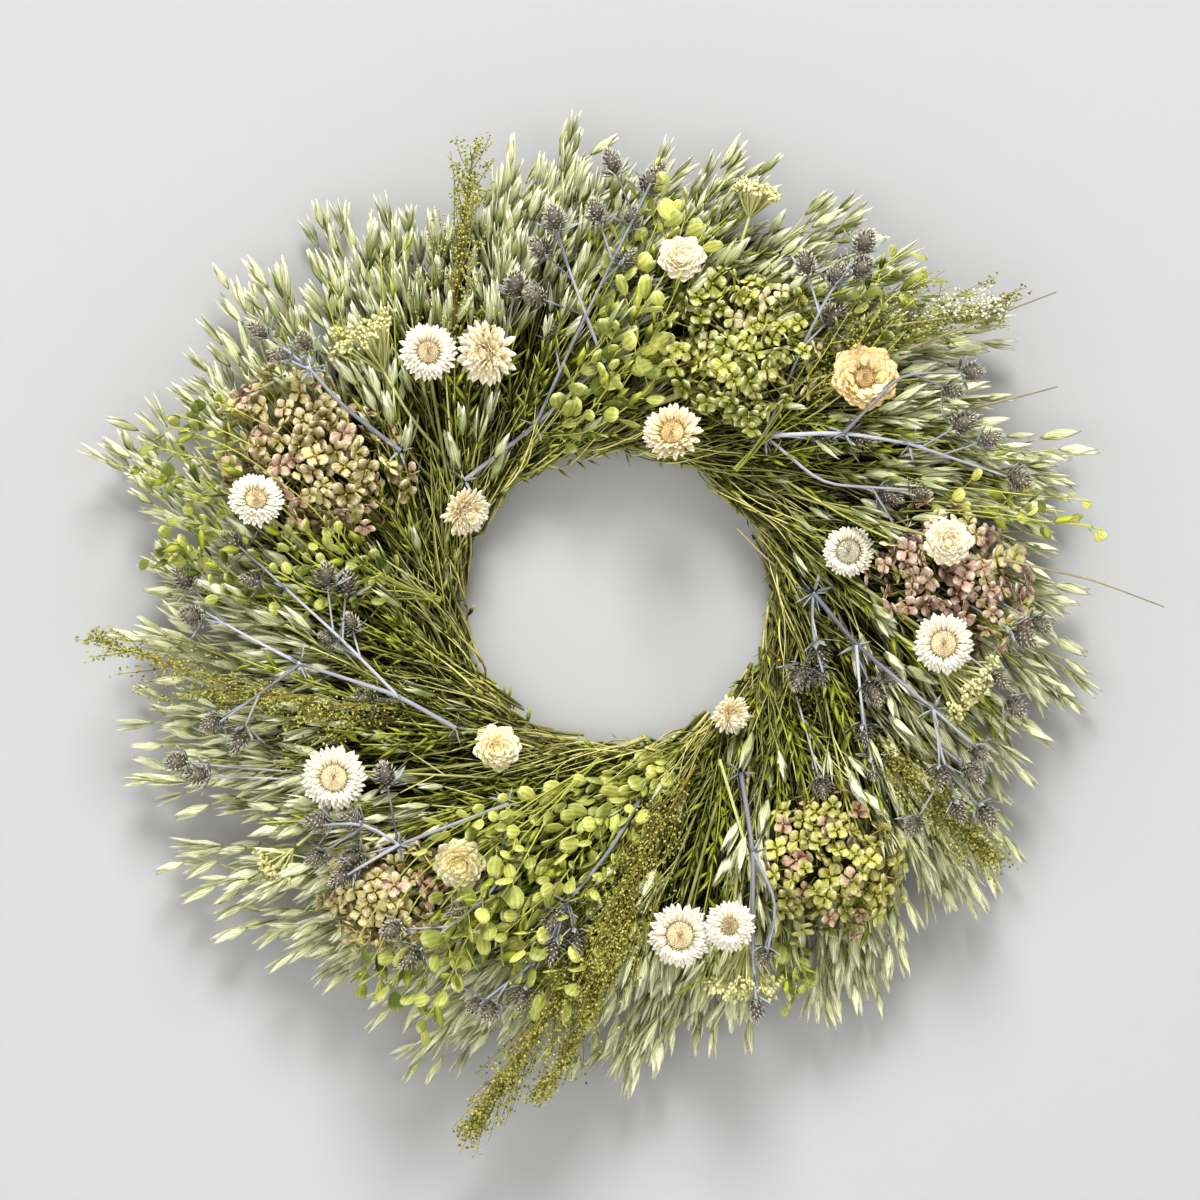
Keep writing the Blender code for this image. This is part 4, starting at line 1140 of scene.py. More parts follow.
def build_head_tree():
    tree, bench, given = new_tree("bracts_by_golden_angle", [
        ("Count", "Int"), *[(f"{row} {measure}", "Float") for measure in MEASURES for row in ROWS],
        ("Untidiness", "Float"), ("Seed", "Int"), ("Form", "Object"), ("Material", "Material")])
    index = bench.node("GeometryNodeInputIndex")
    share = index / given["Count"]
    chance, other = bench.chance(given["Seed"]), bench.chance(given["Seed"] + 7.0)
    wobble = (chance * 2 - 1) * given["Untidiness"]
    angle = index * golden(1) + wobble * 0.6
    radius = blend(given["Outer Radius"], given["Inner Radius"], share)
    rise = blend(given["Outer Rise"], given["Inner Rise"], share)
    tilt = blend(given["Outer Tilt"], given["Inner Tilt"], share ** 1.2)
    tilt = tilt + (other * 2 - 1) * given["Untidiness"]
    size = blend(given["Outer Size"], given["Inner Size"], share) * (1 + wobble * 0.5)
    points = bench.node("GeometryNodePoints", {}, {"Count": given["Count"], "Position": bench.node(
        "ShaderNodeCombineXYZ", {}, {"X": radius * angle.cosine(), "Y": radius * angle.sine(), "Z": rise})})
    turn = bench.node("ShaderNodeCombineXYZ", {}, {"X": wobble, "Y": tilt * -1.0, "Z": angle})
    form = bench.node("GeometryNodeObjectInfo", {}, {"Object": given["Form"]}, out=4)
    bracts = bench.node("GeometryNodeInstanceOnPoints", {}, {
        "Points": points, "Instance": form, "Scale": size,
        "Rotation": bench.node("FunctionNodeEulerToRotation", {}, {"Euler": turn})})
    toned = bench.node("GeometryNodeStoreNamedAttribute", {"data_type": "FLOAT", "domain": "INSTANCE"},
                       {"Geometry": bracts, "Name": "tone", "Value": chance})
    finish_tree(bench, toned, given["Material"])
    return tree


HEAD_TREE = build_head_tree()


def whorl(name, form, material, count, radii, rises, tilts, sizes, untidy, seed):
    """Rows of one form round the middle of a head. Pairs run from the outer row to the inner one."""
    pairs = {f"{row} {measure}": value for measure, pair in zip(MEASURES, (radii, rises, tilts, sizes))
             for row, value in zip(ROWS, pair)}
    return grown(loose_object(name, [(0, 0, 0)], [], {}, {}), HEAD_TREE, {
        "Count": count, **pairs, "Untidiness": untidy, "Seed": seed, "Form": form, "Material": material})


print("head tree nodes:", len(HEAD_TREE.nodes))


# %% Form bracts and disc florets, and dress the strawflowers
def form_bract(name, widths, curl):
    """A papery bract along X, with a pointed tip that curls up."""
    form = Form()
    rings = []
    for height, half in widths:
        rise = curl * height * height
        rings.append([((height, -half, rise + half * 0.25), -1), ((height, 0, rise + 0.02), 0),
                      ((height, half, rise + half * 0.25), 1), ((height, 0, rise - 0.02), 0)])
    form.loft(rings, (0, 0, 0), (1, 0, curl))
    return form.make(name)


SLIM_BRACT = form_bract("slim_bract_form", ((0.25, 0.09), (0.6, 0.14), (0.86, 0.10)), 0.10)
BROAD_BRACT = form_bract("broad_bract_form", ((0.25, 0.18), (0.6, 0.32), (0.86, 0.24)), 0.24)
DISC_FLORET = form_bract("disc_floret_form", ((0.75, 0.24),), 0.0)

STRAW_RISE = 0.0046
STRAW_LIFT = 0.002
DISC_FLORETS = 190
# Form of the bracts, how many, tilt of the outer and the inner ones, how untidy they are, length of
# the inner ones as a share of the radius, and whether they close over the disc
STRAW_KINDS = {
    "open": (SLIM_BRACT, 120, 0.0, 0.62, 0.10, 0.40, False),
    "shaggy": (SLIM_BRACT, 110, 0.05, 0.85, 0.24, 0.52, False),
    "spiky": (SLIM_BRACT, 130, 0.05, 1.20, 0.22, 0.56, True),
    "broad": (BROAD_BRACT, 64, 0.05, 0.98, 0.14, 0.50, True),
    "cup": (BROAD_BRACT, 60, 0.12, 0.75, 0.08, 0.54, False),
}


def straw_front(number, radius, disc_radius, kind, papery_tint, disc_tint):
    """Bracts, disc and the dome below the disc, at the origin and facing up."""
    bract, count, outer_tilt, inner_tilt, untidy, inner_size, closed = STRAW_KINDS[kind]
    bracts = whorl(
        "bracts", bract, papery_tint, count, (disc_radius * 0.9, disc_radius * (0.35 if closed else 0.95)),
        (-0.001, 0.0020), (outer_tilt, inner_tilt), (radius * 1.02 - disc_radius * 0.9, radius * inner_size),
        untidy, number)
    florets = whorl(
        "disc", DISC_FLORET, disc_tint, DISC_FLORETS, (disc_radius * 1.02, 0.0), (0.0018, 0.0028),
        (1.1, 1.5), (0.0024, 0.0018), 0.12, number + 30)
    dome = Places()
    across, height = (disc_radius * 2.5, 0.0078) if closed else (disc_radius * 2.1, 0.0046)
    dome.add((0, 0, -0.0010), UP, 0.0, (across, across, height), 1.0)
    return [bracts, florets, dome.grow("disc_dome", CORE, papery_tint if closed else disc_tint)]


def straw_stem(node, centre, normal):
    """The stem from the back of a head to its seat, at the solid's depth."""
    depth_at = depth_reader(node)
    foot = seat_of(centre, STRAW_SEAT_DEPTH)
    back = centre - normal * 0.006
    line = [centre - normal * 0.001, back]
    for share in (0.35, 0.7):
        point = back.lerp(foot, share)
        point.y = -depth_at(point)
        line.append(point)
    stem = Stems()
    stem.add([*line, foot], 0.0011, 0.0010, 0.3)
    return stem.grow("straw_stem", OAT_STEM, 5)


def strawflower(number, node, place, radius, right, up, slot, colour, disc_colour, disc, kind):
    at = spot(place, 0)
    normal = Vector((math.sin(math.radians(right)), -1, math.sin(math.radians(up)))).normalized()
    centre = spot(place, front_of(node, at, radius * 0.45) - STRAW_RISE + STRAW_LIFT)
    parts = straw_front(number, radius, radius * disc, kind, STRAW_TINTS[colour], DISC_TINTS[disc_colour])
    stand(parts, centre, normal)
    parts.append(straw_stem(node, centre, normal))
    cup = Places()
    cup.add(centre - normal * 0.0055, normal, 0.0, (radius * 0.9, radius * 0.9, 0.0075), 0.5)
    parts.append(cup.grow("straw_back", CORE, STRAW_TINTS[colour]))
    return dressed("strawflower_head_" + node[-2:], parts, node, slot)


dress_family("strawflower", STRAWFLOWERS, strawflower)

# %% [markdown]
# ## Sea holly
#
# Branched, lavender-grey stems end in thimble heads of tiny spiny flowers, each in a ruff of stiff
# pointed bracts. The stems follow the solids' own routes. The heads are cones of small spikes by
# the golden angle, made with the same tree as the strawflowers.

# %% Lay the sea holly stems over their solids
SEA_HOLLY = (
    (((464, 480), (535, 425), (604, 363)), ((604, 363), (578, 297), (556, 236)),
     ((604, 363), (636, 318), (630, 296)), ((535, 425), (580, 330), (650, 190))),
    (((765, 436), (842, 434), (906, 446)), ((906, 446), (959, 464), (1008, 480)),
     ((842, 434), (896, 377), (956, 376)), ((765, 436), (822, 485), (905, 491)),
     ((765, 436), (800, 350), (826, 296), (850, 268))),
    (((814, 593), (855, 645), (929, 708)), ((929, 708), (952, 728), (974, 748)),
     ((855, 645), (858, 690), (862, 724)), ((929, 708), (934, 745), (953, 800)),
     ((814, 593), (812, 630), (822, 672))),
    (((741, 773), (752, 850), (750, 930), (754, 1000)), ((752, 850), (776, 900), (764, 950))),
    (((640, 800), (610, 850), (568, 898)), ((568, 898), (560, 915), (553, 938)),
     ((568, 898), (545, 950), (482, 998))),
    (((508, 804), (450, 824), (401, 842)), ((401, 842), (375, 856), (352, 870)),
     ((401, 842), (370, 818), (330, 820)), ((508, 804), (500, 884), (424, 942))),
    (((455, 728), (397, 694), (304, 663)), ((304, 663), (252, 636), (199, 606)),
     ((397, 694), (345, 640), (246, 548)), ((304, 663), (254, 700), (226, 720))),
    (((402, 452), (345, 408), (315, 373)), ((315, 373), (296, 362), (286, 352)),
     ((315, 373), (280, 345), (264, 336))),
)
HOLLY_HEADS = (
    (555, 225), (596, 216), (656, 179), (649, 188), (612, 169), (632, 220), (627, 262), (627, 284),
    (642, 276), (541, 253), (516, 289), (535, 299), (553, 330), (607, 341), (467, 385), (262, 334),
    (284, 360), (309, 344), (860, 249), (802, 270), (833, 280), (856, 274), (831, 319), (966, 376),
    (857, 441), (822, 441), (949, 395), (957, 426), (985, 441), (887, 497), (919, 493), (1013, 482),
    (902, 543), (1036, 625), (1016, 636), (820, 653), (822, 678), (800, 676), (872, 691), (888, 678),
    (862, 734), (870, 767), (820, 787), (908, 824), (935, 774), (976, 752), (968, 772), (954, 809),
    (981, 812), (1010, 706), (995, 680), (189, 579), (197, 616), (240, 545), (254, 580), (329, 576),
    (348, 585), (352, 621), (329, 638), (217, 721), (245, 736), (203, 773), (183, 760), (366, 697),
    (388, 773), (324, 819), (355, 818), (319, 854), (355, 855), (347, 872), (457, 906), (396, 924),
    (415, 950), (477, 1001), (491, 1005), (523, 993), (555, 916), (555, 944), (576, 936), (760, 953),
    (754, 1003),
)
HOLLY_LENGTH = 0.0150
HOLLY_WIDTH = 0.0055
FAR_FROM_STEM = 0.030
OWN_STEM = 0.060
INNERMOST_ROOT = 0.115
BRACT_RAYS = 5
RAY_TURN = 1.26


def along_places(places, depth_at, step=12):
    """Points every few pixels along photo places, at the solid's depth and gently smoothed."""
    line = []
    for (x0, y0), (x1, y1) in zip(places, places[1:]):
        count = max(2, round(math.hypot(x1 - x0, y1 - y0) / step))
        line.extend((x0 + (x1 - x0) * i / count, y0 + (y1 - y0) * i / count) for i in range(count))
    line.append(places[-1])
    line = np.array(line, dtype=float)
    for _ in range(3):
        line[1:-1] = (line[:-2] + line[2:] + 2 * line[1:-1]) / 4
    depths = np.array([depth_at(spot(place, 0)) for place in line])
    for _ in range(4):
        depths[1:-1] = (depths[:-2] + depths[2:] + 2 * depths[1:-1]) / 4
    return [spot(place, depth) for place, depth in zip(line, depths)]


def near_on(lines, point):
    """The point of these lines nearest to a point seen from the front, a little nearer the root."""
    gap, index, line = min(((gap_between(near, point), index, line) for line in lines
                            for index, near in enumerate(line)), key=lambda item: item[0])
    return line[max(index - 3, 0)], gap


def own_root(point, depth):
    """Where a head far from the others has a stem of its own: further in along the sweep."""
    radius = radius_of(point)
    inner = max(radius - OWN_STEM, INNERMOST_ROOT)
    return polar(inner, angle_of(point) + sweep_turn(radius) - sweep_turn(inner), depth)


# %% Form the sea holly head
SPIKE = form_bract("holly_spike_form", ((0.40, 0.20),), 0.15)
HOLLY_RUFF = form_bract("holly_ruff_form", ((0.2, 0.10), (0.5, 0.13), (0.75, 0.06)), 0.10)
HOLLY_SPINE = form_leaf("holly_spine_form", ((0.3, 0.10), (0.65, 0.06)), 0.02, 0.10)


def holly_head(base, aim, scale, seed):
    """A cone of spikes in a ruff of bracts, at the end of its stem."""
    length, width = HOLLY_LENGTH * scale, HOLLY_WIDTH * scale
    core = Places()
    core.add((0, 0, 0), UP, 0.0, (width * 1.16, width * 1.16, length * 0.94), 0.1)
    parts = [
        core.grow("holly_core", CORE, HOLLY_CORE),
        whorl("holly_low", SPIKE, HOLLY_HEAD, 54, (width * 0.46, width * 0.66),
              (length * 0.10, length * 0.55), (0.10, 0.50), (width * 0.70, width * 0.70), 0.16, seed),
        whorl("holly_top", SPIKE, HOLLY_HEAD, 34, (width * 0.64, 0.0), (length * 0.58, length * 0.94),
              (0.5, 1.4), (width * 0.68, width * 0.58), 0.16, seed + 1),
        whorl("holly_ruff", HOLLY_RUFF, HOLLY_BRACT, 7, (width * 0.3, width * 0.3), (0.0, 0.0), (0.35, 0.65),
              (width * 2.5, width * 1.9), 0.25, seed + 2),
    ]
    stand(parts, base, aim)
    return parts


# %% Dress the sea holly sprays
def sea_holly(number, node, stems_places, head_places):
    draw = random.Random(300 + number)
    depth_at = depth_reader(node)
    stems, bracts = Stems(), Places()
    lines = [along_places(places, depth_at) for places in stems_places]
    for i, line in enumerate(lines):
        stems.add(line, 0.0015 if i == 0 else 0.0011, 0.0010 if i == 0 else 0.0007, draw.uniform(0.2, 1))
        for ray in range(BRACT_RAYS):
            around = ray * RAY_TURN + draw.uniform(-0.3, 0.3)
            aim = Vector((math.cos(around), draw.uniform(-0.7, 0.2), math.sin(around))).normalized()
            bracts.add(line[0], aim, draw.uniform(0, FULL_TURN), draw.uniform(0.008, 0.013), draw.random())
    parts = []
    for i, place in enumerate(head_places):
        at = spot(place, 0)
        joint, far = near_on(lines, at)
        depth = -joint.y + draw.uniform(-0.003, 0.005)
        if far > FAR_FROM_STEM:
            joint = own_root(at, depth * 0.55)
        top = spot(place, depth)
        outward = Vector((top.x - joint.x, 0, top.z - joint.z)).normalized()
        aim = (outward + FORWARD * draw.uniform(0.25, 0.9)).normalized()
        base = top - aim * HOLLY_LENGTH * 0.5
        middle = joint.lerp(base, 0.55) + FORWARD * 0.002
        stems.add([joint, middle, base + aim * 0.001], 0.0007, 0.0006, draw.uniform(0, 1))
        parts.extend(holly_head(base, aim, draw.uniform(0.85, 1.15), 1000 + number * 50 + i * 3))
    parts.append(stems.grow("holly_stems", HOLLY_STEM, 6))
    parts.append(bracts.grow("holly_bracts", HOLLY_SPINE, HOLLY_BRACT, 0.15, number))
    return dressed("sea_holly_spray_" + node[-2:], parts, node, "sea_holly")


def shared_heads():
    """The heads that each spray carries: those nearest to its stems in the photograph."""
    lists = [[] for _ in SEA_HOLLY]
    for head in HOLLY_HEADS:
        gaps = []
        for stems_places in SEA_HOLLY:
            points = np.array([place for places in stems_places for place in places], dtype=float)
            ends = np.array([places[-1] for places in stems_places], dtype=float)
            gap = np.hypot(*(points - head).T).min()
            gaps.append(min(gap, np.hypot(*(ends - head).T).min() * 0.8))
        lists[int(np.argmin(gaps))].append(head)
    return lists


dress_family("sea_holly", zip(SEA_HOLLY, shared_heads()), sea_holly)

# %% [markdown]
# ## Pennycress
#
# Pennycress dries to lime-green round pods, flat as coins, on fine stems. Each solid route becomes a
# handful of stems side by side, with pods on short stalks to both sides.

# %% Form the pod and dress the pennycress
# Photo points of the main stem, share where the pods begin, stems, spread between them, pods on each,
# how far they stand out, size of the pods, how pale they are
PENNYCRESS = (
    ((((520, 440), (590, 385), (650, 290), (690, 190)), 0.30, 6, 0.0085, 20, 0.021, 1.25, 0.26),
     (((530, 445), (585, 410), (620, 370), (645, 335)), 0.15, 5, 0.0080, 13, 0.020, 1.20, 0.08)),
    ((((735, 470), (850, 350), (890, 295), (955, 262)), 0.60, 5, 0.0090, 9, -0.004, 0.85, 0.0),),
    ((((780, 520), (900, 505), (1010, 510), (1096, 524)), 0.50, 4, 0.0052, 9, 0.0, 0.78, 0.15),),
    ((((690, 742), (612, 818), (556, 890), (470, 975)), 0.08, 9, 0.0100, 44, 0.017, 1.15, 0.35),),
    ((((600, 760), (480, 850), (430, 900), (372, 1010)), 0.30, 6, 0.0100, 26, 0.006, 1.15, 0.10),),
    ((((440, 600), (330, 570), (230, 490), (140, 462)), 0.16, 9, 0.0110, 34, 0.006, 0.84, 0.0),),
)
POD_RADIUS = 0.0044
# Height, half width and half thickness of a pod whose width is about 2
POD_STATIONS = ((0.45, 0.05, 0.05), (0.66, 0.50, 0.08), (1.20, 0.88, 0.17), (1.75, 0.84, 0.16),
                (2.25, 0.46, 0.06))


def form_pod():
    """A flat round pod on a short stalk, swollen in the middle, with a notch at its tip."""
    form = Form()
    rings = []
    for height, half, thick in POD_STATIONS:
        rings.append([((-half, 0, height), -1), ((-half * 0.5, thick, height), -0.5),
                      ((half * 0.5, thick, height), 0.5), ((half, 0, height), 1),
                      ((half * 0.5, -thick, height), 0.5), ((-half * 0.5, -thick, height), -0.5)])
    form.loft(rings, (0, 0, 0), (0, 0, 2.15))
    return form.make("pod_form")


POD = form_pod()
POD_LEAF = form_leaf("pod_leaf_form", ((0.25, 0.13), (0.60, 0.17)), 0.02, 0.20)


def side_route(line, offset, depth_offset, sink):
    """A line moved aside: not at all at its root and by the whole offset from half way on."""
    moved = []
    for i, point in enumerate(line):
        nearby = line[min(i + 1, len(line) - 1)] - line[max(i - 1, 0)]
        across = across_of(nearby.normalized())
        share = i / (len(line) - 1)
        grow = smooth(0.0, 0.6, share)
        wave = 0.0012 * math.sin(share * 14 + offset * 900)
        lower = sink * math.sin(math.pi * min(share * 1.3, 1))
        moved.append(point + across * (offset * grow + wave) + FORWARD * (depth_offset * grow - lower))
    return moved


def add_pods(route, begin, count, apart, pod_count, lift, large, pale, draw, stems, pods, leaves):
    """Stems side by side along a route, with pods and leaves to all sides."""
    for i in range(count):
        offset = (i - (count - 1) / 2) * apart + draw.uniform(-0.004, 0.004)
        line = side_route(route, offset, lift + draw.uniform(-0.010, 0.004),
                          draw.uniform(0.000, 0.010) - lift * 0.5)
        line = line[:max(6, round(len(line) * draw.uniform(0.80, 1.0)))]
        stems.add(line, 0.0006, 0.0004, draw.random())
        for j in range(pod_count):
            base, direction = place_on(line, begin + (1 - begin) * (j + draw.random()) / pod_count)
            around = j * NEXT_ROUND + draw.uniform(-0.5, 0.5)
            side = side_of(direction, around)
            aim = (direction + side * draw.uniform(0.5, 1.3)).normalized()
            stalk = base + aim * draw.uniform(0.0, 0.006)
            size = POD_RADIUS * large * draw.uniform(0.62, 1.14)
            if hides_bloom(stalk + aim * size * 1.4):
                continue
            if j % 4 == 2:
                leaves.add(base, aim, draw.uniform(-1.5, 1.5), draw.uniform(0.010, 0.018), draw.random())
                continue
            stems.add([base, stalk + aim * size * 0.3], 0.0004, 0.0004, draw.random())
            pods.add(stalk, aim, draw.uniform(-1.4, 1.4), (size, size, size * 1.25),
                     draw.random() * 0.8 + pale)


def pod_spray(name, number, node, sprays, depth_at, draw):
    """One piece of stems with pods. A spray is its photo points and its rule."""
    stems, pods, leaves = Stems(), Places(), Places()
    for places, *rule in sprays:
        add_pods(along_places(places, depth_at), *rule, draw, stems, pods, leaves)
    return dressed(name, [
        stems.grow("penny_stems", PENNY_STEM), pods.grow("penny_pods", POD, PENNY_POD, 0.1, number),
        leaves.grow("penny_leaves", POD_LEAF, HERB_LEAF, 0.1, number)], node, "pennycress")


def pennycress(number, node, *sprays):
    return pod_spray("pennycress_spray_" + node[-2:], number, node, sprays, depth_reader(node),
                     random.Random(400 + number))


dress_family("pennycress", PENNYCRESS, pennycress)

# %% [markdown]
# ## Sweet annie
#
# Sweet annie dries to feathery plumes of golden-olive grains. Twigs leave the main stem to all
# sides, shorter towards the tip, and the grains cluster along them. A grain is the plainest form
# here, a small closed double cone, because there are thousands.

# %% Form the grain and dress the sweet annie
# How far a plume stands out, how full it is, and the photo points of its stems
SWEET_ANNIE = (
    (0.017, 1.0, ((696, 765), (632, 875), (562, 995), (474, 1122)),
     ((655, 820), (620, 930), (575, 1040), (540, 1092))),
    (0.002, 0.34, ((470, 700), (330, 705), (220, 680), (104, 640)),
     ((452, 715), (360, 722), (290, 700), (225, 700))),
    (-0.002, 0.32, ((455, 470), (452, 360), (462, 260), (474, 158))),
    (0.004, 0.45, ((770, 470), (850, 345), (930, 322), (1000, 304))),
    (0.006, 0.7, ((770, 650), (850, 720), (915, 780), (985, 850))),
)
TWIGS = 140
GRAINS_A_TWIG = 26
LONGEST_TWIG = 0.054
PLUME_BEGIN = 0.03
GRAIN_SIZES = (0.0014, 0.0024)
GRAIN_SPREAD = 0.0027
FURTHEST_FORWARD = cad_low[1] - 0.004
GRAIN = form_leaf("grain_form", ((0.5, 0.42),), 0.42, 0.0)


def plume(route, draw, stems, grains, twigs, longest, begin=0.22):
    """Twigs with grains round a route."""
    for i in range(twigs):
        share = begin + (1 - begin) * (i + draw.random()) / twigs
        base, direction = place_on(route, share)
        around = i * NEXT_ROUND + draw.uniform(-0.5, 0.5)
        side = side_of(direction, around)
        aim = (direction + side * draw.uniform(0.15, 0.85)).normalized()
        length = (longest * min((1 - share) ** 0.8, 0.45 + share * 1.6) + 0.010) * draw.uniform(0.45, 1.35)
        end = base + aim * length
        tip = end + (direction - UP * 0.3) * length * 0.35
        tip.y = max(tip.y, FURTHEST_FORWARD)
        stems.add([base, base.lerp(end, 0.6), tip], 0.0003, 0.0002, draw.random())
        for j in range(GRAINS_A_TWIG):
            part = 0.06 + 0.94 * draw.random()
            loose = any_way(draw, 1) * GRAIN_SPREAD
            point = base.lerp(tip, part) + loose
            grains.add(point, (direction + loose * 250).normalized(), 0.0, draw.uniform(*GRAIN_SIZES),
                       draw.random())


def sweet_annie(number, node, lift, fullness, *routes):
    draw = random.Random(500 + number)
    depth_at = depth_reader(node)
    stems, grains = Stems(), Places()
    for order, places in enumerate(routes):
        route = along_places(places, depth_at)
        route = [point + FORWARD * lift * (1 - 0.6 * i / len(route)) for i, point in enumerate(route)]
        stems.add(route, 0.0012, 0.0006, draw.random())
        plume(route, draw, stems, grains, round(TWIGS * fullness) // (1 + order), LONGEST_TWIG / (1 + order),
              PLUME_BEGIN)
    return dressed("sweet_annie_plume_" + node[-2:], [
        stems.grow("annie_stems", ANNIE_STEM, 3),
        grains.grow("annie_grains", GRAIN, ANNIE_GRAIN, 0.1, number)], node, "sweet_annie")


dress_family("sweet_annie", SWEET_ANNIE, sweet_annie)

# %% [markdown]
# ## Yarrow
#
# A yarrow head is a flat umbel: rays leave one point and end in tufts of tiny cream flowers, all at
# about the same height.

# %% Dress the yarrow
YARROW = (
    ((455, 470), (412, 420), (372, 350)), ((720, 760), (752, 870), (742, 985)),
    ((800, 560), (890, 630), (968, 690)),
)
RAYS = 20
UMBEL_HEIGHT = 0.029
SMALL_UMBEL_HEIGHT = 0.018
TUFT_FLOWERS = 13
TUFT_SIZES = (0.0024, 0.0036)


def add_umbel(fork, direction, height, draw, stems, tufts):
    """Rays from one point, each with its tuft."""
    for i in range(RAYS):
        spread = 0.85 * math.sqrt((i + 0.5) / RAYS)
        aim = (direction + side_of(direction, golden(i)) * spread).normalized()
        top = fork + aim * height * draw.uniform(0.85, 1.1)
        stems.add([fork, fork.lerp(top, 0.6) - direction * 0.001, top], 0.0007, 0.0005, draw.random())
        for j in range(TUFT_FLOWERS):
            loose = any_way(draw, 1) * height * 0.12
            tufts.add(top + loose, (aim + loose * 150).normalized(), 0.0, draw.uniform(*TUFT_SIZES),
                      draw.random())


def umbel(number, name, route, node=None):
    """A yarrow head on the outer end of a route. Without a solid of its own it is a small one."""
    draw = random.Random(600 + number)
    stems, tufts = Stems(), Places()
    fork, direction = place_on(route, 0.80)
    stems.add(route[:round(len(route) * 0.82)], 0.0012, 0.0010, 0.5)
    add_umbel(fork, direction, UMBEL_HEIGHT if node else SMALL_UMBEL_HEIGHT, draw, stems, tufts)
    return dressed(name, [
        stems.grow("yarrow_stems", YARROW_STEM),
        tufts.grow("yarrow_tufts", GRAIN, YARROW_TUFT, 0.1, number)], node, "yarrow")


def yarrow(number, node, *places):
    return umbel(number, "yarrow_umbel_" + node[-2:], along_places(places, depth_reader(node)), node)


dress_family("yarrow", YARROW, yarrow)

# %% [markdown]
# ## Loose pieces
#
# A few stray stems stick out past the oats and one crosses the inner rim. Two small umbels, a tuft of
# pods and a sprig of small white flowers fill gaps between the bunches. All are too slight to be
# solids of their own.

# %% Add the loose pieces
WISPS = (
    ((905, 352), (980, 322), (1055, 293)), ((960, 412), (1010, 400), (1055, 388)),
    ((1000, 560), (1090, 580), (1163, 607)), ((738, 528), (775, 566), (815, 592)),
    ((880, 330), (960, 318), (1020, 300)),
)
SMALL_UMBELS = (((705, 330), (735, 262), (758, 190)), ((352, 800), (318, 828), (278, 862)))
WHITE_SPRIG = ((885, 330), (935, 313), (985, 304))
SPRIG_DEPTH = 0.062
SPRIG_TWIGS = 8
SPRIG_TWIG_LENGTH = 0.013
# Photo points and rule of the tuft, as for a spray of pennycress
POD_TUFT = (((765, 860), (785, 920), (806, 996)), 0.35, 3, 0.0050, 9, 0.0, 1.0, 0.1)
TUFT_DEPTH = 0.040
WISP_LIFT = 0.002
UMBEL_DEPTH = 0.046


def placed_line(places, depth):
    """A line through photo places at one depth in front of the ring."""
    return along_places(places, lambda point: depth)


stray_stems = Stems()
stray_draw = random.Random(700)
for wisp in WISPS:
    line = along_places(wisp, lambda point: front_depth(radius_of(point)) + WISP_LIFT)
    stray_stems.add(line, 0.0009, 0.0003, stray_draw.uniform(0.5, 1))
dressed("stray_stems", [stray_stems.grow("stray_stems", STRAY_STEM)], None, "oat")
for number, places in enumerate(SMALL_UMBELS, 1 + len(YARROW)):
    umbel(number, f"yarrow_umbel_{number:02d}", placed_line(places, UMBEL_DEPTH))
sprig_stems, sprig_grains = Stems(), Places()
plume(placed_line(WHITE_SPRIG, SPRIG_DEPTH), stray_draw, sprig_stems, sprig_grains, SPRIG_TWIGS,
      SPRIG_TWIG_LENGTH)
dressed("white_sprig", [
    sprig_stems.grow("sprig_stems", YARROW_STEM, 3),
    sprig_grains.grow("sprig_grains", GRAIN, WHITE_TUFT, 0.1, 8)], None, "yarrow")
pod_spray("pennycress_tuft", 7, None, [POD_TUFT], lambda point: TUFT_DEPTH, stray_draw)
print("pieces in all:", len(made_pieces))

# %% [markdown]
# ## The wires
#
# The wire frame and the binding wire are right as solids. They only need their finish: thin enamelled
# wire, worn a little, with slight waves of tone along it.

# %% Finish the wires
def wire_finish(name, deep, worn):
    made, bench, shader = new_material(name)
    place = bench.node("ShaderNodeTexCoord", out=3)
    noise = bench.node("ShaderNodeTexNoise", {}, {"Vector": place, "Scale": 180.0, "Detail": 4.0})
    worn_away = bench.node("ShaderNodeMapRange", {}, {"Value": noise, "From Min": 0.55, "From Max": 0.68})
    bench.join(bench.mix(worn_away, tint(*deep), tint(*worn)), shader, "Base Color")
    bench.join(worn_away * 0.8, shader, "Metallic")
    bench.join(0.38 + noise * 0.25, shader, "Roughness")
    return made


for node, deep in (("wire_ring", (40, 56, 40)), ("binding_wire", (48, 70, 44))):
    wire = bpy.data.objects[node]
    wire.data.materials.clear()
    wire.data.materials.append(wire_finish(node + "_enamel", deep, (120, 118, 106)))
print("wires finished")

# %% [markdown]
# ## Wall, floor, light and camera
#
# The wreath hangs on a pale wall. Most light comes from a window high in front of it, so its shadow
# falls below it, and weak lamps fill in from below and from both sides. Seen from behind, the wall is
# clear and lets light through, so the back can be looked at too. The camera looks straight ahead.

# %% Put up the wall and the floor
def plain_finish(name, colour, one_sided=False):
    """A dull even paint. One that is one-sided can't be seen from behind and casts no shadow."""
    made, bench, shader = new_material(name)
    shader.inputs["Base Color"].default_value = tint(*colour)
    shader.inputs["Roughness"].default_value = 0.9
    if one_sided:
        back = bench.node("ShaderNodeNewGeometry", out=6)
        shadow = bench.node("ShaderNodeLightPath", out=1)
        clear = bench.node("ShaderNodeBsdfTransparent")
        mixed = bench.node("ShaderNodeMixShader", {}, {
            0: back.maths("MAXIMUM", back, shadow), 1: Wire(bench, shader.outputs[0]), 2: clear})
        bench.join(mixed, made.node_tree.nodes["Material Output"], 0)
    return made


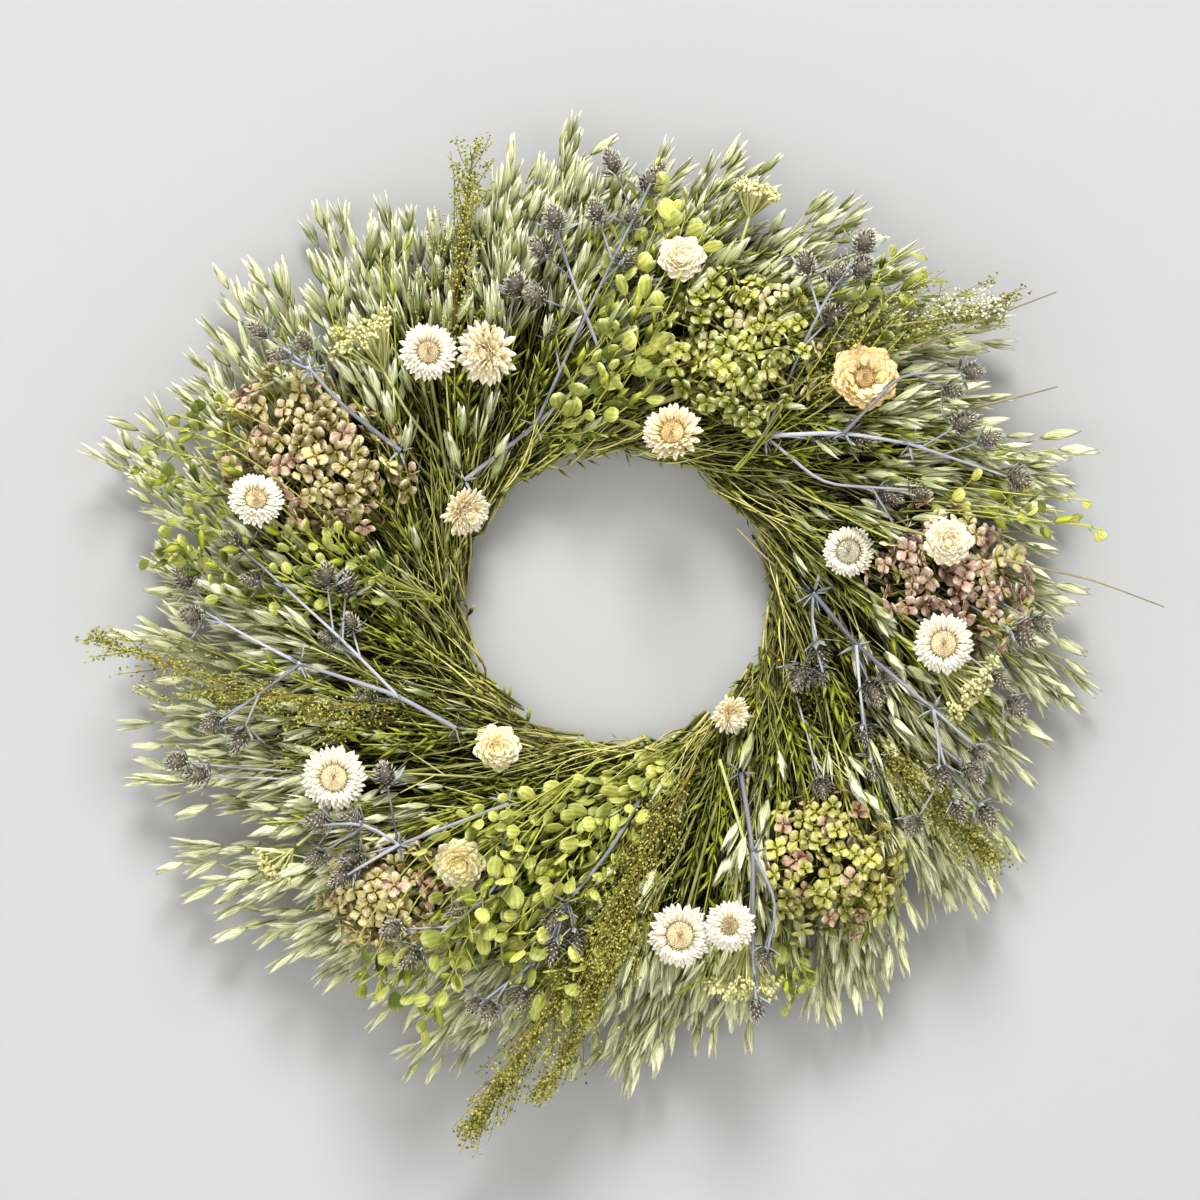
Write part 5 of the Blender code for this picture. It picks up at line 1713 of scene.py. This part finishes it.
def stage_plane(name, half_width, half_height, placing, finish):
    mesh = bpy.data.meshes.new(name)
    corners = [(-half_width, -half_height, 0), (half_width, -half_height, 0), (half_width, half_height, 0),
               (-half_width, half_height, 0)]
    mesh.from_pydata(corners, [], [(0, 1, 2, 3)])
    mesh.transform(placing)
    mesh.materials.append(finish)
    made = new_object(name, mesh)


WALL_GAP = 0.002
WALL_Y = cad_high.y + WALL_GAP
FLOOR_Z = -1.2
stage_plane("wall", 3, 3, Matrix.Translation((0, WALL_Y, 0)) @ Matrix.Rotation(math.pi / 2, 4, "X"),
            plain_finish("wall_paint", (172, 172, 173), one_sided=True))
stage_plane("floor", 4, 4, Matrix.Translation((0, 0, FLOOR_Z)), plain_finish("floor_paint", (214, 213, 211)))
print("wall and floor up")


# %% Light it and aim the camera
def area_light(name, place, size, power):
    """A round lamp that shines on the wreath's middle."""
    lamp = bpy.data.lights.new(name, "AREA")
    lamp.shape = "DISK"
    lamp.size, lamp.energy = size, power
    made = new_object(name, lamp)
    made.location = place
    made.rotation_euler = (CENTRE - Vector(place)).to_track_quat("-Z", "Y").to_euler()


area_light("window", (0.10, -3.8, 4.6), 2.4, 430)
area_light("room", (-0.5, -2.8, -0.9), 2.0, 18)
for side, power in ((-1, 46), (1, 38)):
    area_light("side", (side * 2.6, -3.0, 0.0), 3.4, power)
area_light("behind", (-0.8, 2.6, 2.6), 2.0, 60)
world = bpy.data.worlds.new("room")
world.use_nodes = True
world.node_tree.nodes["Background"].inputs["Color"].default_value = tint(232, 232, 232)
world.node_tree.nodes["Background"].inputs["Strength"].default_value = 0.06
bpy.context.scene.world = world
bpy.context.scene.view_settings.view_transform = "Standard"
bpy.context.scene.view_settings.look = "Medium High Contrast"

CAMERA_FAR = 2.4
AIM_DEPTH = 0.04
SENSOR = 36
camera_data = bpy.data.cameras.new("camera")
camera_data.sensor_width = SENSOR
camera_data.lens = SENSOR * (CAMERA_FAR - AIM_DEPTH) / (PHOTO_WIDTH * PIXEL)
camera = new_object("camera", camera_data)
camera.location = spot((PHOTO_WIDTH / 2, PHOTO_WIDTH / 2), CAMERA_FAR)
camera.rotation_euler = (math.pi / 2, 0, 0)
bpy.context.scene.camera = camera
print("lens:", round(camera_data.lens, 1))

# %% [markdown]
# ## Finish
#
# The forms that were set out are taken away, because only their copies belong to the wreath. The pieces and
# their triangles are counted.

# %% Clear the forms and count the triangles
for form in forms:
    bpy.data.objects.remove(form)
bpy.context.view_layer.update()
triangles = 0
for piece in made_pieces:
    piece.data.calc_loop_triangles()
    triangles += len(piece.data.loop_triangles)
print("pieces:", len(made_pieces), "triangles:", triangles)
